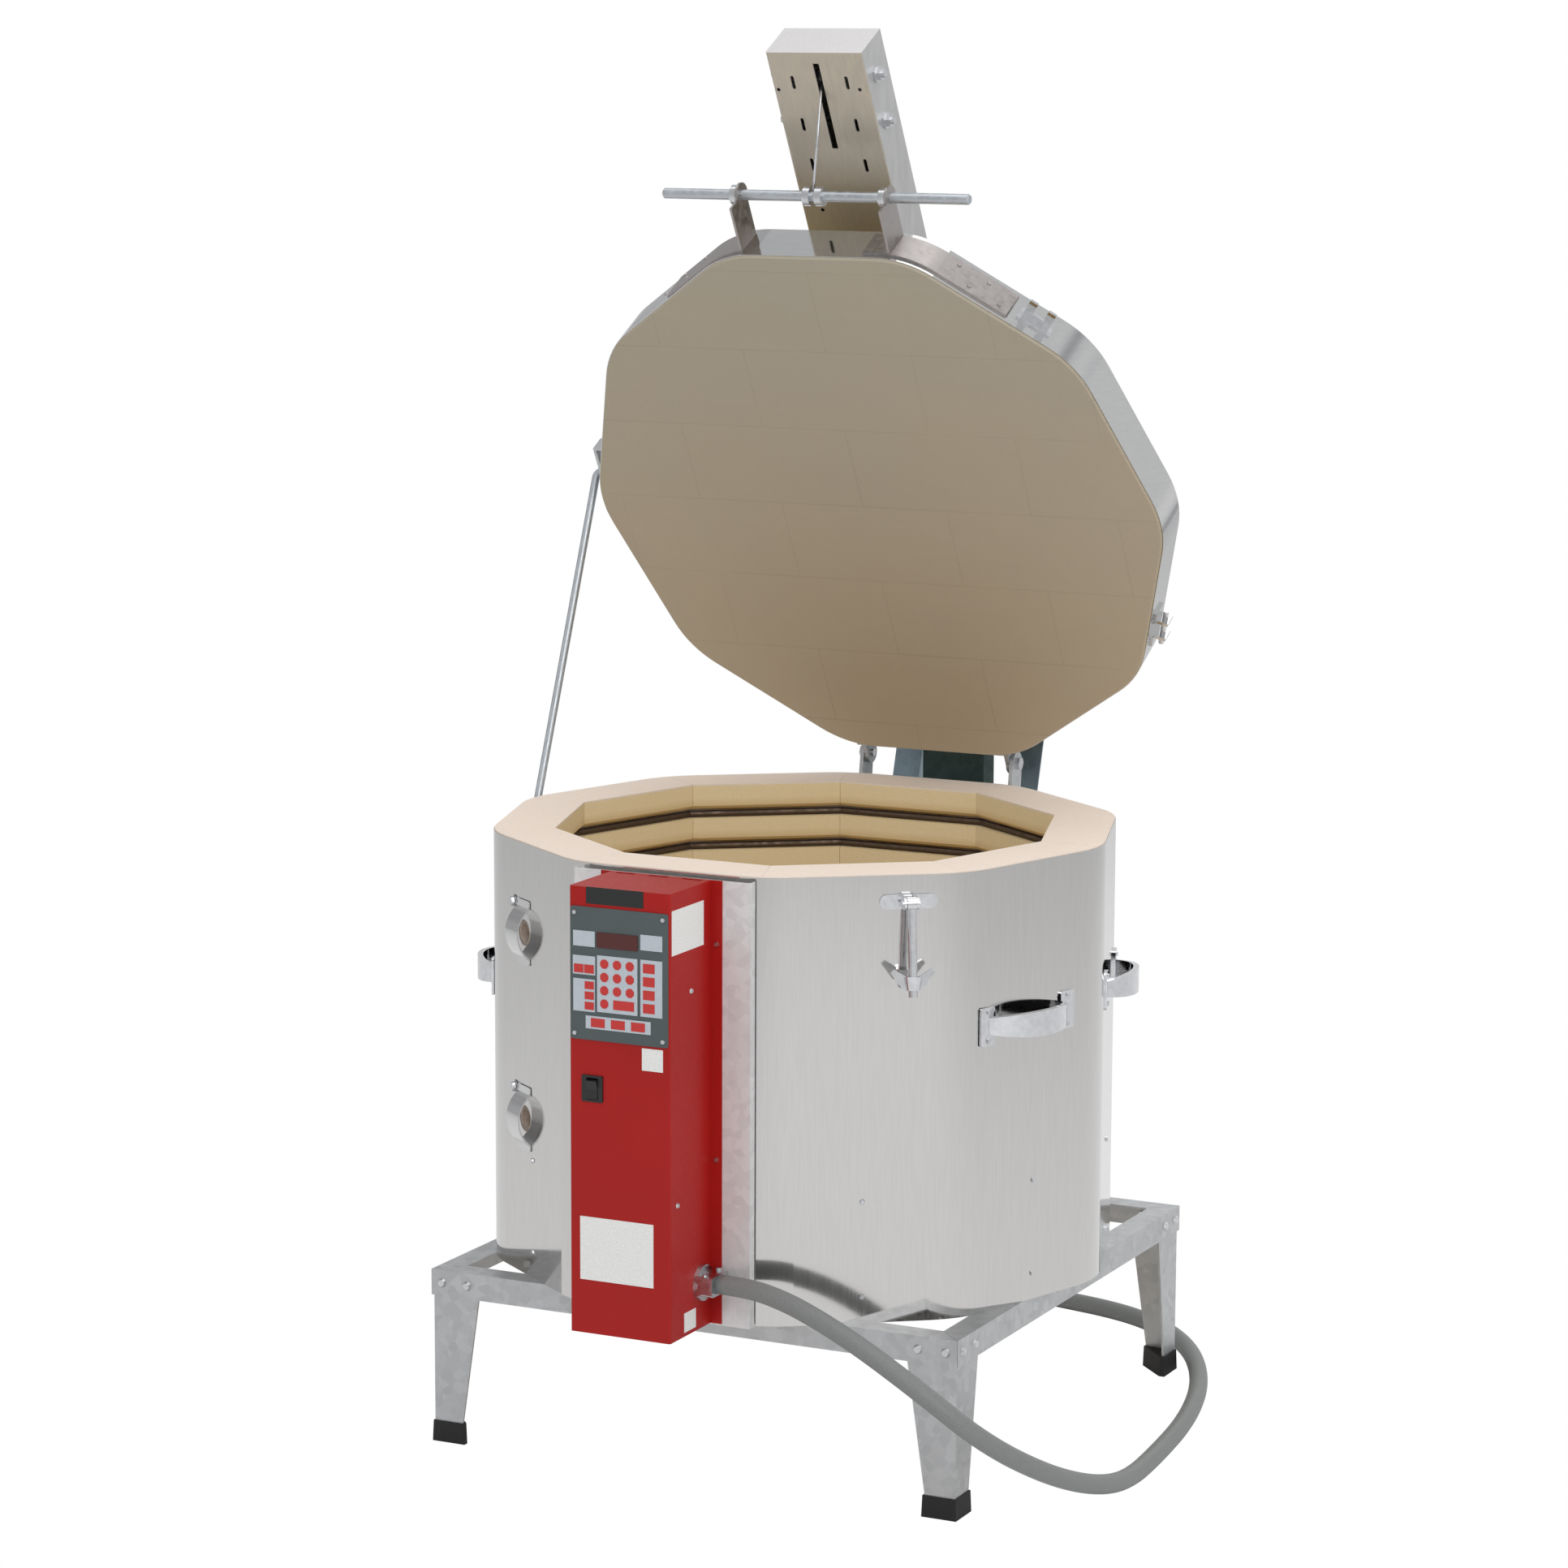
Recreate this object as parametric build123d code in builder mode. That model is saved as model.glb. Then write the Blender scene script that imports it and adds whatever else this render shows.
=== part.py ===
from build123d import *
import os
from math import acos, atan2, cos, degrees, hypot, pi, radians, sin, tan

# A ten-sided, top-loading electric kiln on an angle-iron stand. Its lid is propped open and
# hangs on a cable from a leaning spring tower behind it. Millimetres, +Z up, the front towards
# -Y. Pieces are drawn about the firing chamber's axis, with the floor at zero, and saved about
# the middle of the whole outline.

# Firing chamber and its brickwork
SIDES = 10
CHAMBER_WIDTH = 594
BRICK_WALL = 76
COURSE_HEIGHT = 114.3
COURSES = 4
FLOOR_THICKNESS = 76
FLOOR_COAT = 1
FLOOR_COAT_GAP = 0.5
CORNER_RADIUS = 125
BRICK_JOINT = 0.4
GROOVE_HEIGHTS = (34, 76)
GROOVE_DEPTH = 15
GROOVE_HALF_HEIGHT = 6
GROOVE_LIP = 5
ELEMENT_RADIUS = 4.2
ELEMENT_SEAT = 0.3
TERMINAL_RADIUS = 5
TERMINAL_SLACK = 0.8
TERMINAL_SPREAD = 36

# Jacket and stand
SHEET = 0.8
JACKET_SLACK = 0.2
RIM_REVEAL = 1.5
STAND_HEIGHT = 217
STAND_WIDTH = 703
STAND_SETBACK = 30
ANGLE_WIDTH = 32
ANGLE_THICKNESS = 2.5
LEG_TOP_WIDTH = 62
LEG_FOOT_WIDTH = 36
BOOT_HEIGHT = 26
BOOT_WALL = 2.5
BOOT_SOLE = 6
STAND_BOLT_RADIUS = 3
STAND_NUT_HEIGHT = 4.8
BOLT_SLACK = 0.5
STAND_BOLT_STEPS = (15, 50)

# Lid, its hinge and how far it stands open
LID_THICKNESS = 63.5
LID_GAP = 1
LID_OPEN_ANGLE = 61
HINGE_BACK = 26
HINGE_RISE = 24
HINGE_SPREAD = 104
HINGE_PLATE = 5
HINGE_HEAD_RADIUS = 15
HINGE_PIN_RADIUS = 5
RUNNING_CLEARANCE = 0.06

# Handle bar on the lid
BAR_LENGTH = 410
BAR_RADIUS = 6.5
BAR_REACH = 60
BAR_LIFT = 43
ARM_SPREAD = 98
ARM_THICKNESS = 3
STRIP_SEAT = 0.05
ARM_WIDTH = 44
ARM_NOSE = 15

# Control box
CHANNEL_WIDTH = 230
CHANNEL_DEPTH = 12
CHANNEL_SHEET = 1.2
BOX_WIDTH = 130
BOX_DEPTH = 104
BOX_HEIGHT = 526
BOX_SHEET = 1.5
BOX_FLANGE = 14
BOX_BELOW_RIM = 5
PANEL_WIDTH = 126
PANEL_HEIGHT = 155
PANEL_BELOW_TOP = 23
PANEL_THICKNESS = 1.5
PAD_THICKNESS = 0.5
KEY_THICKNESS = 0.4
SWITCH_X = -35
SWITCH_BELOW_TOP = 235

# Pull handles
HANDLE_LENGTH = 166
HANDLE_REACH = 36
HANDLE_BELOW_RIM = 188
HANDLE_OFFSET = 15
HANDLE_PLATE_WIDTH = 24
HANDLE_PLATE_HEIGHT = 46
HANDLE_PLATE_THICKNESS = 3
GRIP_THICKNESS = 7
GRIP_HEIGHT = 30

# Swing-bolt latch and its keeper
LATCH_OFFSET = 52
LATCH_BELOW_RIM = 32
LATCH_STANDOFF = 17
LATCH_LEAN = 8
LATCH_WING_REACH = 26
LATCH_WING_RISE = 9
LATCH_BOLT_RADIUS = 5.5
LATCH_BOLT_LENGTH = 108
LATCH_PIN_RADIUS = 3
LATCH_NUT_START = 84
LATCH_NUT_HEIGHT = 16
KEEPER_LIFT = 32

# Peepholes
PEEPHOLE_RADIUS = 12
PEEPHOLE_OFFSET = -20
PEEPHOLE_ABOVE_JOINT = 4
PEEP_PIVOT_SIDE = 28
PEEP_SHIELD_WIDTH = 34
PEEP_SHIELD_HEIGHT = 66
PEEP_SHIELD_BULGE = 17
PEEP_SHEET = 1.5

# Spring tower behind the lid, along its own leaning axis
TOWER_TOP_REACH = 961
TOWER_FOOT_REACH = 44
TOWER_LIFT = 121
TOWER_WIDTH = 128
TOWER_DEPTH = 60
TOWER_SHEET = 1.5
PULLEY_BELOW_TOP = 43
PULLEY_BACK = 27
PULLEY_RADIUS = 20
PULLEY_FLANGE = 3
AXLE_RADIUS = 5
CABLE_RADIUS = 1.6
YOKE_REST = 520
YOKE_SHEAVE_RADIUS = 13
ANCHOR_BELOW_PULLEY = 62
SPRING_SPREAD = 36
SPRING_RADIUS = 15
SPRING_WIRE = 3
STRUT_LEAN = 17
STRUT_RIM_Y = 500
STRUT_TOP = 930
STRUT_DEPTH = 34
STRUT_WIDTH = 38
STRUT_SHEET = 2.5
NECK_HEIGHT = 380

# Prop rod on the left side of the kiln
PROP_X = -408
PROP_SLOT_ANGLE = 55
PROP_END = 20
PROP_FOOT_Y = 36
PROP_BELOW_RIM = 50
PROP_CATCH_Y = -16
PROP_CATCH_LIFT = 40
PROP_RADIUS = 5
PROP_BEND = 9

# Power cord
CORD_RADIUS = 12
CORD_EXIT_Y = -411
CORD_EXIT_RISE = 54.8
CORD_FLOOR = CORD_RADIUS + 0.2
GLAND_LENGTH = 24
PLUG_RADIUS = 21
PLUG_LENGTH = 52
PLUG_AXIS = PLUG_RADIUS + 0.2

# Small fasteners
SCREW_RADIUS = 3.4
SCREW_HEIGHT = 2

# Heights and distances that follow
CHAMBER_APOTHEM = CHAMBER_WIDTH / 2
BRICK_APOTHEM = CHAMBER_APOTHEM + BRICK_WALL
BODY_APOTHEM = BRICK_APOTHEM + JACKET_SLACK + SHEET
HALF_TURN = 180 / SIDES
FLOOR_TOP = STAND_HEIGHT + FLOOR_THICKNESS
RIM = FLOOR_TOP + COURSES * COURSE_HEIGHT
LID_BOTTOM = RIM + LID_GAP
HINGE_Y = BODY_APOTHEM + HINGE_BACK
HINGE_Z = RIM + HINGE_RISE
HINGE_AXIS = Axis((0, HINGE_Y, HINGE_Z), (1, 0, 0))
CHANNEL_FACE = BODY_APOTHEM + CHANNEL_DEPTH
BOX_FRONT = CHANNEL_FACE + BOX_DEPTH
BOX_TOP = RIM - BOX_BELOW_RIM
BOX_BOTTOM = BOX_TOP - BOX_HEIGHT
CHANNEL_BOTTOM = BOX_BOTTOM - 2.2
CORD_EXIT_Z = BOX_BOTTOM + CORD_EXIT_RISE
LATCH_Z = RIM - LATCH_BELOW_RIM
HANDLE_Z = RIM - HANDLE_BELOW_RIM
PEEPHOLE_COURSES = (1, 3)
PEEPHOLE_HEIGHTS = [FLOOR_TOP + i * COURSE_HEIGHT + PEEPHOLE_ABOVE_JOINT for i in PEEPHOLE_COURSES]
TOWER_UP_Y = -cos(radians(LID_OPEN_ANGLE))
TOWER_UP_Z = sin(radians(LID_OPEN_ANGLE))
BAR_Y = -(BODY_APOTHEM + BAR_REACH)
BAR_Z = LID_BOTTOM + BAR_LIFT

# Farthest points of the outline, and how far each piece moves so that the origin lies between them
FRONT_REACH = BOX_FRONT + PANEL_THICKNESS + SCREW_HEIGHT
REAR_REACH = STRUT_RIM_Y + STRUT_DEPTH / 2 + (STRUT_TOP - RIM) * tan(radians(STRUT_LEAN))
LEFT_REACH = PROP_RADIUS - PROP_X
GRIP_CHORD = HANDLE_LENGTH / 2 - HANDLE_PLATE_WIDTH / 2
GRIP_CURVE = (GRIP_CHORD**2 + HANDLE_REACH**2) / (2 * HANDLE_REACH)
GRIP_CENTRE = BODY_APOTHEM + HANDLE_REACH - GRIP_CURVE
RIGHT_REACH = GRIP_CENTRE * cos(radians(HALF_TURN)) - HANDLE_OFFSET * sin(radians(HALF_TURN)) + GRIP_CURVE
ORIGIN_SHIFT = Location(((LEFT_REACH - RIGHT_REACH) / 2, (FRONT_REACH - REAR_REACH) / 2, 0))

# Directions in which the jacket's faces look, in degrees
FRONT = -90
FRONT_RIGHT = -54
RIGHT = -18
RIGHT_REAR = 18
REAR = 90
LEFT_REAR = 162
LEFT = -162
FRONT_LEFT = -126

os.makedirs("parts", exist_ok=True)


def save(part, name):
    """Move one finished piece from the chamber's axis to the shared origin and write its file."""
    piece = part.moved(ORIGIN_SHIFT)
    piece.label = name
    export_step(piece, f"parts/{name}.step")


def opened(part):
    """Turn a lid piece from the closed pose, in which it is drawn, to the propped-open pose."""
    return part.rotate(HINGE_AXIS, -LID_OPEN_ANGLE)


def opened_point(y, z):
    """Where a point of the closed lid lies, as (y, z), once the lid stands open."""
    turn = radians(LID_OPEN_ANGLE)
    away_y = y - HINGE_Y
    away_z = z - HINGE_Z
    return (
        HINGE_Y + away_y * cos(turn) + away_z * sin(turn),
        HINGE_Z - away_y * sin(turn) + away_z * cos(turn),
    )


def rounded_decagon(apothem, mode=Mode.ADD):
    """The kiln's outline: a regular polygon, flat towards the front, with softly bent corners."""
    with BuildSketch(mode=Mode.PRIVATE) as outline:
        RegularPolygon(apothem, SIDES, major_radius=False)
        fillet(outline.vertices(), CORNER_RADIUS + apothem - BODY_APOTHEM)
    add(outline.sketch, mode=mode)


def chamber_decagon(mode=Mode.ADD):
    """The sharp-cornered inside of the brickwork."""
    RegularPolygon(CHAMBER_APOTHEM, SIDES, major_radius=False, mode=mode)


def front_wedge(gap, mode=Mode.INTERSECT):
    """The sector of one side, the front one, less half a gap along each edge."""
    apex = -gap / 2 / sin(radians(HALF_TURN))
    reach = 2 * BODY_APOTHEM
    half = reach * sin(radians(HALF_TURN))
    far = apex - reach * cos(radians(HALF_TURN))
    with BuildSketch(mode=Mode.PRIVATE) as wedge:
        with BuildLine():
            Polyline((0, apex), (half, far), (-half, far), close=True)
        make_face()
    add(wedge.sketch, mode=mode)


def face_plane(direction, height, distance=BODY_APOTHEM):
    """A plane on one side of the kiln: X runs along the side, Y up, and Z outwards."""
    angle = radians(direction)
    outwards = (cos(angle), sin(angle), 0)
    along = (-sin(angle), cos(angle), 0)
    return Plane(
        origin=(distance * outwards[0], distance * outwards[1], height), x_dir=along, z_dir=outwards
    )


def screw_heads(planes, radius=SCREW_RADIUS, height=SCREW_HEIGHT):
    """A group of identical screw heads, one on each plane."""
    with BuildPart() as screws:
        for plane in planes:
            with BuildSketch(plane):
                RegularPolygon(radius, 8)
            extrude(amount=height, taper=20)
    return screws.part


# Stand: four mitred angle rails on four tapered legs with rubber boots


def around_stand(part, turn):
    """Turn a piece of the front left corner about the middle of the stand."""
    return part.rotate(Axis((0, STAND_SETBACK, 0), (0, 0, 1)), turn)


def four_corners(part):
    """The same piece at every corner of the stand, as one group."""
    with BuildPart() as group:
        for turn in range(4):
            add(around_stand(part, 90 * turn))
    return group.part


def stand_rail():
    """The front rail, an L section mitred at both ends, with its bolt holes."""
    half = STAND_WIDTH / 2
    front = STAND_SETBACK - half
    with BuildPart() as rail:
        with BuildSketch(Plane.YZ.offset(-half)):
            with Locations((front, STAND_HEIGHT)):
                Rectangle(ANGLE_THICKNESS, ANGLE_WIDTH, align=(Align.MIN, Align.MAX))
                Rectangle(ANGLE_WIDTH, ANGLE_THICKNESS, align=(Align.MIN, Align.MAX))
        extrude(amount=STAND_WIDTH)
        for side in (-1, 1):
            mitre = Plane((side * half, front, 0), x_dir=(0, 0, 1), z_dir=(side, 1, 0))
            split(bisect_by=mitre.offset(-BRICK_JOINT / 2), keep=Keep.BOTTOM)
        with BuildSketch(Plane.XZ.offset(-front)):
            for side in (-1, 1):
                for step in STAND_BOLT_STEPS:
                    with Locations((side * (half - step), STAND_HEIGHT - ANGLE_WIDTH / 2)):
                        RegularPolygon(STAND_BOLT_RADIUS + BOLT_SLACK, 8)
        extrude(amount=ANGLE_THICKNESS, both=True, mode=Mode.SUBTRACT)
    return rail.part


def leg_wall(plane):
    """One tapered wall of a leg, drawn on a vertical plane that starts at the leg's corner."""
    top = STAND_HEIGHT - ANGLE_THICKNESS
    with BuildPart() as wall:
        with BuildSketch(plane):
            with BuildLine():
                Polyline(
                    (0, BOOT_SOLE),
                    (LEG_FOOT_WIDTH, BOOT_SOLE),
                    (LEG_TOP_WIDTH, top - ANGLE_WIDTH),
                    (LEG_TOP_WIDTH, top),
                    (0, top),
                    close=True,
                )
            make_face()
            for step in STAND_BOLT_STEPS:
                with Locations((step - ANGLE_THICKNESS, STAND_HEIGHT - ANGLE_WIDTH / 2)):
                    RegularPolygon(STAND_BOLT_RADIUS + BOLT_SLACK, 8, mode=Mode.SUBTRACT)
        extrude(amount=ANGLE_THICKNESS)
    return wall.part


def stand_leg():
    """The front left leg: a folded corner that narrows towards its foot."""
    corner_x = -STAND_WIDTH / 2 + ANGLE_THICKNESS
    corner_y = STAND_SETBACK - STAND_WIDTH / 2 + ANGLE_THICKNESS
    with BuildPart() as leg:
        add(leg_wall(Plane((corner_x, corner_y + ANGLE_THICKNESS, 0), x_dir=(1, 0, 0), z_dir=(0, -1, 0))))
        add(leg_wall(Plane((corner_x, corner_y, 0), x_dir=(0, 1, 0), z_dir=(1, 0, 0))))
    return leg.part


def stand_boot():
    """The rubber boot on a leg: a blunt triangle with a slot for the folded leg."""
    corner_x = -STAND_WIDTH / 2 + ANGLE_THICKNESS - BOOT_WALL
    corner_y = STAND_SETBACK - STAND_WIDTH / 2 + ANGLE_THICKNESS - BOOT_WALL
    size = LEG_FOOT_WIDTH + 2 * BOOT_WALL + 3.5
    blunt = 3 * BOOT_WALL
    slot = ANGLE_THICKNESS + 0.4
    with BuildPart() as boot:
        with BuildSketch(Plane((corner_x, corner_y, 0))):
            with BuildLine():
                Polyline((0, 0), (size, 0), (size, blunt), (blunt, size), (0, size), close=True)
            make_face()
        extrude(amount=BOOT_HEIGHT, taper=2)
        with BuildSketch(Plane((corner_x + BOOT_WALL - 0.2, corner_y + BOOT_WALL - 0.2, BOOT_SOLE))):
            Rectangle(size - 2 * BOOT_WALL, slot, align=(Align.MIN, Align.MIN))
            Rectangle(slot, size - 2 * BOOT_WALL, align=(Align.MIN, Align.MIN))
        extrude(amount=BOOT_HEIGHT, mode=Mode.SUBTRACT)
    return boot.part


def stand_bolts():
    """Domed bolts through the front rail and the two legs behind it."""
    half = STAND_WIDTH / 2
    front = STAND_SETBACK - half
    with BuildPart() as front_bolts:
        for side in (-1, 1):
            for step in STAND_BOLT_STEPS:
                centre = (side * (half - step), front, STAND_HEIGHT - ANGLE_WIDTH / 2)
                outside = Plane(centre, x_dir=(1, 0, 0), z_dir=(0, -1, 0))
                with BuildSketch(outside):
                    RegularPolygon(2 * STAND_BOLT_RADIUS, 10)
                extrude(amount=STAND_BOLT_RADIUS, taper=30)
                with BuildSketch(outside):
                    RegularPolygon(STAND_BOLT_RADIUS, 8)
                extrude(amount=-(2 * ANGLE_THICKNESS + STAND_NUT_HEIGHT))
                with BuildSketch(outside.offset(-2 * ANGLE_THICKNESS)):
                    RegularPolygon(1.6 * STAND_BOLT_RADIUS, 6)
                extrude(amount=-STAND_NUT_HEIGHT)
    return front_bolts.part


save(four_corners(stand_rail()), "stand_rails")
save(four_corners(stand_leg()), "stand_legs")
save(four_corners(stand_boot()), "stand_boots")
save(four_corners(stand_bolts()), "stand_bolts")


# Firing chamber: floor slab, four courses of grooved bricks, elements and thermocouple


def groove_section(height):
    """A groove in the front brick as a YZ section: a beveled mouth and a flat pocket."""
    mouth = -CHAMBER_APOTHEM + 1
    back = -CHAMBER_APOTHEM - GROOVE_DEPTH
    with BuildSketch(Plane.YZ) as section:
        with BuildLine():
            Polyline(
                (mouth, height - GROOVE_HALF_HEIGHT),
                (mouth, height + GROOVE_HALF_HEIGHT + GROOVE_LIP),
                (mouth - GROOVE_LIP, height + GROOVE_HALF_HEIGHT),
                (back, height + GROOVE_HALF_HEIGHT),
                (back, height - GROOVE_HALF_HEIGHT),
                close=True,
            )
        make_face()
    return section.sketch


def brick_course(number):
    """Ten grooved bricks in a ring, with the holes that pass through this course."""
    base = FLOOR_TOP + number * COURSE_HEIGHT
    with BuildPart() as brick:
        with BuildSketch(Plane.XY.offset(base + BRICK_JOINT / 4)):
            rounded_decagon(BRICK_APOTHEM)
            chamber_decagon(Mode.SUBTRACT)
            front_wedge(BRICK_JOINT)
        extrude(amount=COURSE_HEIGHT - BRICK_JOINT / 2)
        for height in GROOVE_HEIGHTS:
            groove = groove_section(base + height)
            extrude(groove, amount=CHAMBER_APOTHEM / 2, both=True, mode=Mode.SUBTRACT)
    with BuildPart() as course:
        with PolarLocations(0, SIDES):
            add(brick.part)
        for height in PEEPHOLE_HEIGHTS:
            if abs(height - base - COURSE_HEIGHT / 2) < COURSE_HEIGHT / 2 + PEEPHOLE_RADIUS:
                with BuildSketch(face_plane(FRONT_LEFT, height, CHAMBER_APOTHEM - 1)):
                    with Locations((PEEPHOLE_OFFSET, 0)):
                        Circle(PEEPHOLE_RADIUS)
                extrude(amount=BRICK_WALL + 2, mode=Mode.SUBTRACT)
        if number == THERMOCOUPLE_COURSE:
            with BuildSketch(face_plane(FRONT, THERMOCOUPLE_Z, CHAMBER_APOTHEM - 1)):
                Circle(THERMOCOUPLE_RADIUS + 0.5)
            extrude(amount=BRICK_WALL + 2, mode=Mode.SUBTRACT)
        for height in GROOVE_HEIGHTS:
            with BuildSketch(face_plane(FRONT, base + height, CHAMBER_APOTHEM + GROOVE_DEPTH - 1)):
                with Locations((terminal_side(height) * TERMINAL_SPREAD, 0)):
                    RegularPolygon(TERMINAL_RADIUS + TERMINAL_SLACK, 8)
            extrude(amount=BRICK_WALL, mode=Mode.SUBTRACT)
    return course.part


def terminal_side(height):
    """The lower groove's terminal stands left of the middle, and the upper one's right."""
    return -1 if height == GROOVE_HEIGHTS[0] else 1


def heating_element(number):
    """Two coiled turns of resistance wire, each drawn as the tube that the coil fills."""
    base = FLOOR_TOP + number * COURSE_HEIGHT
    reach = CHAMBER_APOTHEM + GROOVE_DEPTH - ELEMENT_RADIUS - 1
    with BuildPart() as element:
        for height in GROOVE_HEIGHTS:
            level = base + height - GROOVE_HALF_HEIGHT + ELEMENT_RADIUS + ELEMENT_SEAT
            with BuildPart(mode=Mode.PRIVATE) as run:
                with BuildSketch(Plane.YZ):
                    with Locations((-reach, level)):
                        RegularPolygon(ELEMENT_RADIUS, 8)
                extrude(amount=CHAMBER_APOTHEM / 2, both=True)
                with BuildSketch(Plane.XY.offset(base)):
                    front_wedge(0, Mode.ADD)
                extrude(amount=COURSE_HEIGHT, mode=Mode.INTERSECT)
            with PolarLocations(0, SIDES):
                add(run.part)
    return element.part


THERMOCOUPLE_COURSE = 2
THERMOCOUPLE_Z = FLOOR_TOP + (THERMOCOUPLE_COURSE + 0.5) * COURSE_HEIGHT
THERMOCOUPLE_RADIUS = 6
THERMOCOUPLE_REACH = 28

with BuildPart() as floor_slab:
    with BuildSketch(Plane.XY.offset(STAND_HEIGHT)):
        rounded_decagon(BRICK_APOTHEM)
    extrude(amount=FLOOR_THICKNESS)
    # Kiln wash on the chamber's floor, inside the bricks
    with BuildSketch(Plane.XY.offset(FLOOR_TOP)):
        RegularPolygon(CHAMBER_APOTHEM - FLOOR_COAT_GAP, SIDES, major_radius=False)
    extrude(amount=FLOOR_COAT)
save(floor_slab.part, "floor_slab")

COURSE_NAMES = ("bottom", "lower", "upper", "top")
for number, name in enumerate(COURSE_NAMES):
    save(brick_course(number), f"brick_course_{name}")

with BuildPart() as heating_elements:
    for number in range(COURSES):
        add(heating_element(number))
save(heating_elements.part, "heating_elements")

with BuildPart() as thermocouple:
    with BuildSketch(face_plane(FRONT, THERMOCOUPLE_Z, CHAMBER_APOTHEM - THERMOCOUPLE_REACH)):
        Circle(THERMOCOUPLE_RADIUS)
    extrude(amount=BRICK_WALL + THERMOCOUPLE_REACH + CHANNEL_DEPTH + 6)
    with BuildSketch(face_plane(FRONT, THERMOCOUPLE_Z, CHANNEL_FACE)):
        Rectangle(30, 16)
    extrude(amount=14)
save(thermocouple.part, "thermocouple")

with BuildPart() as element_terminals:
    for number in range(COURSES):
        for height in GROOVE_HEIGHTS:
            level = FLOOR_TOP + number * COURSE_HEIGHT + height
            start = CHAMBER_APOTHEM + GROOVE_DEPTH + 1
            with BuildSketch(face_plane(FRONT, level, start)):
                with Locations((terminal_side(height) * TERMINAL_SPREAD, 0)):
                    RegularPolygon(TERMINAL_RADIUS, 8)
            extrude(amount=CHANNEL_FACE + 18 - start)
save(element_terminals.part, "element_terminals")


# Stainless jacket round the bricks, and the channel that carries the control box


def front_holes(distance, depth):
    """Drills for the terminals' and the thermocouple's clearance holes in a front sheet."""
    with BuildPart() as drills:
        with BuildSketch(face_plane(FRONT, FLOOR_TOP, distance)):
            for number in range(COURSES):
                for height in GROOVE_HEIGHTS:
                    across = terminal_side(height) * TERMINAL_SPREAD
                    with Locations((across, number * COURSE_HEIGHT + height)):
                        RegularPolygon(TERMINAL_RADIUS + 2 * TERMINAL_SLACK, 8)
            with Locations((0, THERMOCOUPLE_Z - FLOOR_TOP)):
                Circle(THERMOCOUPLE_RADIUS + 1)
        extrude(amount=depth)
    return drills.part


with BuildPart() as jacket:
    with BuildSketch(Plane.XY.offset(STAND_HEIGHT)):
        rounded_decagon(BODY_APOTHEM)
        rounded_decagon(BODY_APOTHEM - SHEET, Mode.SUBTRACT)
    extrude(amount=RIM - RIM_REVEAL - STAND_HEIGHT)
    add(front_holes(BRICK_APOTHEM, 2), mode=Mode.SUBTRACT)
    for height in PEEPHOLE_HEIGHTS:
        with BuildSketch(face_plane(FRONT_LEFT, height, BRICK_APOTHEM)):
            with Locations((PEEPHOLE_OFFSET, 0)):
                Circle(PEEPHOLE_RADIUS + 4)
        extrude(amount=2, mode=Mode.SUBTRACT)
save(jacket.part, "jacket")

with BuildPart() as control_channel:
    with BuildSketch(Plane.XY.offset(CHANNEL_BOTTOM)):
        with Locations((0, -CHANNEL_FACE)):
            Rectangle(CHANNEL_WIDTH, CHANNEL_DEPTH, align=(Align.CENTER, Align.MIN))
        with Locations((0, -CHANNEL_FACE + CHANNEL_SHEET)):
            Rectangle(
                CHANNEL_WIDTH - 2 * CHANNEL_SHEET,
                CHANNEL_DEPTH,
                align=(Align.CENTER, Align.MIN),
                mode=Mode.SUBTRACT,
            )
    extrude(amount=BOX_TOP - CHANNEL_BOTTOM)
    add(front_holes(CHANNEL_FACE - 2, 4), mode=Mode.SUBTRACT)
save(control_channel.part, "control_channel")

jacket_screw_planes = []
for side in range(SIDES):
    direction = FRONT + side * 360 / SIDES
    if direction != FRONT:
        jacket_screw_planes.append(face_plane(direction, STAND_HEIGHT + 32))
        jacket_screw_planes.append(face_plane(direction, STAND_HEIGHT + FLOOR_THICKNESS + 70))


# Control box: red cover, keypad panel, switch and what is inside


def box_cover_plane(x, below_top):
    """A plane on the cover's front, given across from the middle and down from its top."""
    return Plane((x, -BOX_FRONT, BOX_TOP - below_top), x_dir=(1, 0, 0), z_dir=(0, -1, 0))


SWITCH_WIDTH = 27
SWITCH_HEIGHT = 31
SWITCH_OPENING = (15, 25.4)
SWITCH_DEPTH = 20
SWITCH_BEZEL = 2
ROCKER_PIVOT_DEPTH = 3
ROCKER_TILT = 8
ROCKER_SLACK = 0.3

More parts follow.
